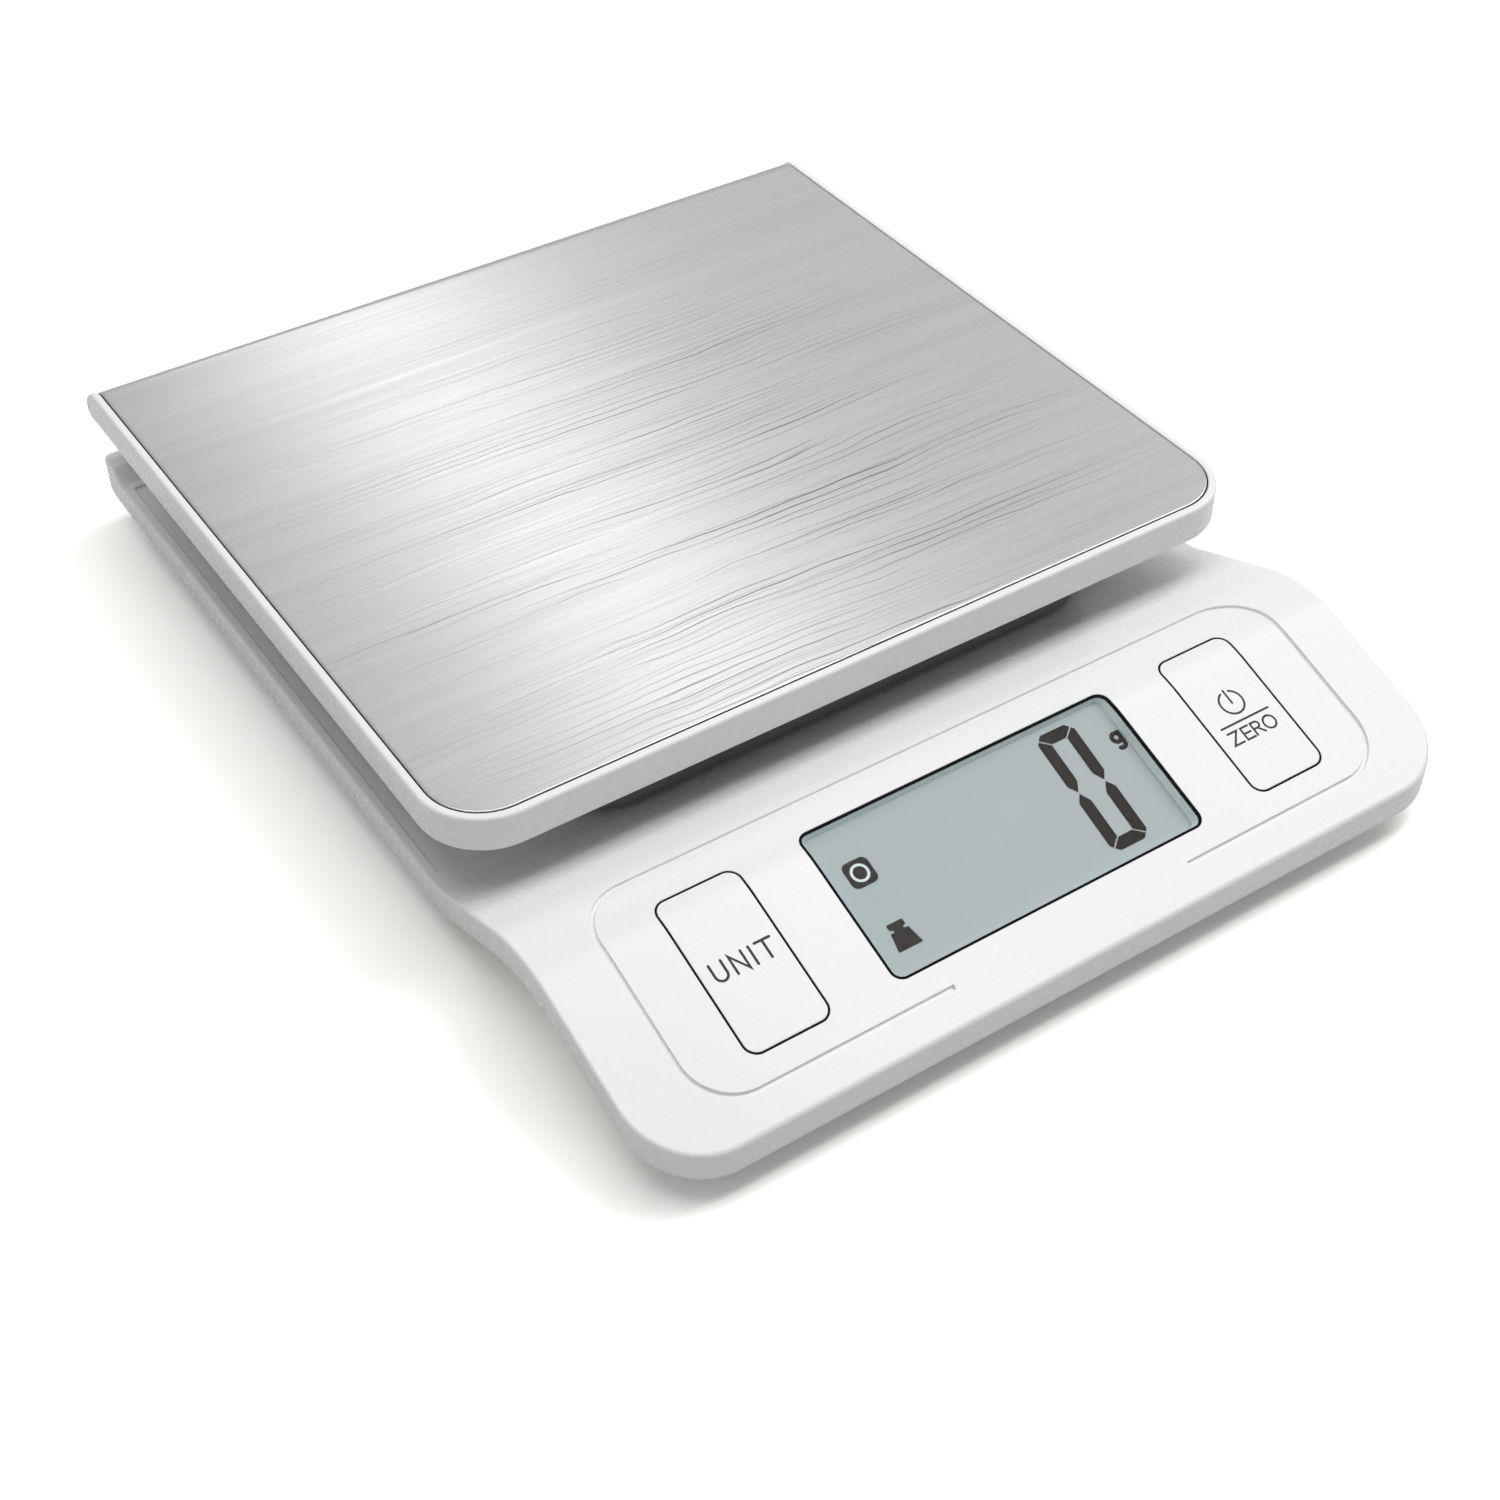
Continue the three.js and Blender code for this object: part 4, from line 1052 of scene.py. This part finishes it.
def plate_seat_cutter():
    """The plate's seat in the frame: the plate's outline and bend, grown by the gap."""
    end = PLATE_LENGTH + 6.0
    area = (PLATE_LOW.x - GAP, PLATE_HIGH.x + GAP, -GAP, end, PLATE_CORNER_R + GAP)
    side = [PLATE_CORNER_R + 1, 60, 120] + PLATE_BEND[:-1]
    rings = []
    for inset, depth in [(0, PLATE_T + GAP), (0, 0.2), (-4, -3.8)]:
        ring = []
        for x, v in outline(area, inset, REAR_CORNER_R, side, 14):
            if v > PLATE_FLAT + PLATE_ARC and depth < 0:
                v = max(v, end)
            ring.append(plate_point(x, v, depth))
        rings.append(ring)
    return loft("cutter", rings)


SKIRT_R = 14.0
SKIRT_FLARE = 4.0
SKIRT_FLARE_H = 9.0
SKIRT_RIM_H = 0.8
SKIRT_WALL = 2.0


def skirt():
    """Pedestal wall with a concave flare under the platform."""
    bottom = SKIRT_LOW.z
    top = SKIRT_HIGH.z
    area = (SKIRT_LOW.x + SKIRT_FLARE, SKIRT_HIGH.x - SKIRT_FLARE, SKIRT_LOW.y + SKIRT_FLARE,
            SKIRT_HIGH.y - SKIRT_FLARE, SKIRT_R)
    levels = [(SKIRT_WALL, top), (SKIRT_WALL, bottom + 0.3), (SKIRT_WALL - 0.3, bottom),
              (0.6, bottom), (0.18, bottom + 0.18), (0, bottom + 0.6)]
    for turn in spaced(0, math.pi / 2, 12):
        levels.append((-SKIRT_FLARE * (1 - math.cos(turn)),
                       top - SKIRT_RIM_H - SKIRT_FLARE_H * (1 - math.sin(turn))))
    levels.append((-SKIRT_FLARE, top))
    rings = [[(x, y, z) for x, y in outline(area, inset, side=[0, 30, 60], steps=12)]
             for inset, z in levels]
    return loft("platform_skirt_wall", rings, capped=False, closed=True)


# ---------------------------------------------------------------- build everything
KEYS = (("unit", -1, unit_strokes(), 0.54), ("zero", 1, zero_strokes(), 0.46))


def build_casing():
    """The shell, the lens and the thin dark pieces in the joints, which paint the shade of the
    gaps.
    """
    finish_piece(base_top_shell(), "base", "white_plastic", "base_top_shell")
    finish_piece(lens(), "base", "clear_lens", "lcd_lens")
    for key, side, *_ in KEYS:
        ring = dark_gap_fill(key + "_key_gap_shade", key_area(side), KEY_GAP, KEY_GAP_FILL_BOTTOM)
        finish_piece(ring, "base", "black_plastic", material=GAP_SHADE_BLACK)
    window_gap_fill = dark_gap_fill("lcd_gap_shade", WINDOW, LENS_GAP, WINDOW_GAP_FILL_BOTTOM)
    finish_piece(window_gap_fill, "base", "black_plastic", material=GAP_SHADE_BLACK)
    finish_piece(lcd_surround(), "base", "black_plastic", material=PALE_BLUE)
    finish_piece(plate_gap_fill(), "platform", "black_plastic", material=GAP_SHADE_BLACK)


def build_display():
    finish_piece(display_pane(), "base", "lcd_glass", "lcd_glass")
    marks, ring = display_marks()
    finish_piece(marks, "base", "black_plastic", material=LCD_INK)
    finish_piece(ring, "base", "lcd_glass", material=PALE_BLUE)


def build_keys():
    for key, side, *_ in KEYS:
        cap = key_cap(key + "_key_cap", side)
        finish_piece(cap, key + "_button", "white_plastic", key + "_key")
    for key, _, strokes, width in KEYS:
        marks = key_marks(key + "_key_print", strokes, width)
        finish_piece(marks, key + "_button", "black_plastic", material=PRINT_INK)


def build_platform():
    finish_piece(platform_plate(), "platform", "brushed_steel", "platform_plate")
    finish_piece(platform_frame(), "platform", "white_plastic", "platform_frame")
    # The pedestal is grey to paint the shade under the platform.
    finish_piece(skirt(), "platform", "case_plastic", "platform_skirt", material=PEDESTAL_SHADE_GREY)


dress_cad_nodes()
build_casing()
build_display()
build_keys()
build_platform()


# ---------------------------------------------------------------- floor, light and camera
FLOOR_REACH = 6.0
FLOOR_BOUNCE = 0.75             # share of light that the floor returns to the object
FLOOR_BRIGHTNESS = (0.95, 0.5)  # seen straight by the camera: two layers that add up
FLOOR_TINT = (1.0, 0.985, 0.965)
FLOOR_GLOW = 0.9                # emission far out, so that the floor ends in plain white
FLOOR_GLOW_FROM = 0.4
FLOOR_GLOW_FULL = 2.2


def floor_paper():
    """White paper, brighter to the eye than as a reflector, glowing faintly far out."""
    m = Nodes("floor_paper", WHITE, 0.9)
    bounce = m.diffuse((FLOOR_BOUNCE,) * 3 + (1,))
    layers = [m.diffuse(tuple(level * tint for tint in FLOOR_TINT) + (1,))
              for level in FLOOR_BRIGHTNESS]
    seen = m.add("ShaderNodeMixShader")
    m.link(m.add("ShaderNodeLightPath").outputs["Is Camera Ray"], seen.inputs["Fac"])
    m.link(bounce, seen.inputs[1])
    m.link(m.joined(*layers), seen.inputs[2])
    glow = m.add("ShaderNodeEmission")
    strength = m.spread(m.distance(), 0.0, FLOOR_GLOW, FLOOR_GLOW_FROM, FLOOR_GLOW_FULL)
    m.link(strength, glow.inputs["Strength"])
    paper = m.joined(seen.outputs["Shader"], glow.outputs["Emission"])
    m.link(paper, m.tree.nodes["Material Output"].inputs["Surface"])
    m.tree.nodes.remove(m.shader)
    m.material.cycles.emission_sampling = "NONE"
    return m.material


def floor():
    corners = [(x * FLOOR_REACH, y * FLOOR_REACH, 0)
               for x, y in ((-1, -1), (1, -1), (1, 1), (-1, 1))]
    mesh = bpy.data.meshes.new("floor")
    mesh.from_pydata(corners, [], [(0, 1, 2, 3)])
    mesh.materials.append(floor_paper())
    make_object("floor", mesh)


ORIGIN = (0, 0, 0)
WORLD_FILL = 0.315              # light that the surround gives to matt surfaces
WORLD_SEEN = (("Is Glossy Ray", 0.5), ("Is Camera Ray", 0.93))


def softbox(name, place, target, size, power):
    data = bpy.data.lights.new(name, "AREA")
    data.shape = "RECTANGLE"
    data.size, data.size_y = size
    data.energy = power
    lamp = bpy.data.objects.new(name, data)
    bpy.context.scene.collection.objects.link(lamp)
    lamp.location = place
    aim = Vector(target) - Vector(place)
    lamp.rotation_euler = aim.to_track_quat("-Z", "Y").to_euler()
    return lamp


def strip(name, place, size, power):
    """Softbox whose long side lies along the plate's depth, tilted towards the plate."""
    lamp = softbox(name, place, ORIGIN, size, power)
    lean = math.atan2(place[0], place[2])
    lamp.rotation_euler = (math.radians(-25), lean, 0)


def studio_world():
    """Dim soft fill, a grey surround for reflections and a near-white backdrop behind the floor."""
    world = bpy.data.worlds.new("studio")
    world.use_nodes = True
    tree = world.node_tree
    path = tree.nodes.new("ShaderNodeLightPath")
    shader = tree.nodes["Background"]
    shader.inputs["Color"].default_value = WHITE
    shader.inputs["Strength"].default_value = WORLD_FILL
    for ray, strength in WORLD_SEEN:
        other = tree.nodes.new("ShaderNodeBackground")
        other.inputs["Color"].default_value = WHITE
        other.inputs["Strength"].default_value = strength
        choice = tree.nodes.new("ShaderNodeMixShader")
        tree.links.new(path.outputs[ray], choice.inputs["Fac"])
        tree.links.new(shader.outputs[0], choice.inputs[1])
        tree.links.new(other.outputs[0], choice.inputs[2])
        shader = choice
    tree.links.new(shader.outputs[0], tree.nodes["World Output"].inputs["Surface"])
    bpy.context.scene.world = world


def lights():
    """Lamps, with their places in metres and their powers in watts."""
    studio_world()
    plate = (0, 0.03, 0.038)
    softbox("overhead", (0.05, 0.1, 1.5), (0.05, 0.1, 0), (1.6, 0.7), 11)
    softbox("right_side", (1.0, 0.0, 1.2), ORIGIN, (0.7, 1.2), 10.6)
    softbox("left_side", (-1.0, 0.0, 1.2), ORIGIN, (0.7, 1.2), 0.6)
    softbox("rear_wall", (0.9, 1.6, 1.5), plate, (2.2, 1.6), 0.7)
    strip("strip", (0.429, 1.0, 0.79), (0.15, 1.1), 0.92)
    strip("edge_strip", (0.92, 1.0, 0.79), (0.1, 1.1), 0.2)


# The camera that was fitted to the photograph: degrees, metres and a lens in millimetres.
CAMERA_AZIMUTH = -33.728
CAMERA_ELEVATION = 42.899
CAMERA_PLACE = (-0.21826, -0.33281, 0.33922)
CAMERA_LENS = 55.84


def camera():
    data = bpy.data.cameras.new("camera")
    data.lens = CAMERA_LENS
    data.sensor_width = 36
    data.dof.use_dof = False
    data.clip_start = 0.01
    obj = bpy.data.objects.new("camera", data)
    bpy.context.scene.collection.objects.link(obj)
    around = math.radians(CAMERA_AZIMUTH)
    above = math.radians(CAMERA_ELEVATION)
    back = Vector((math.sin(around) * math.cos(above), -math.cos(around) * math.cos(above),
                   math.sin(above)))
    right = Vector((math.cos(around), math.sin(around), 0))
    up = back.cross(right)
    turn = Matrix((right, up, back)).transposed().to_4x4()
    obj.matrix_world = Matrix.Translation(CAMERA_PLACE) @ turn
    bpy.context.scene.camera = obj


floor()
lights()
camera()
bpy.context.scene.view_settings.view_transform = "Standard"
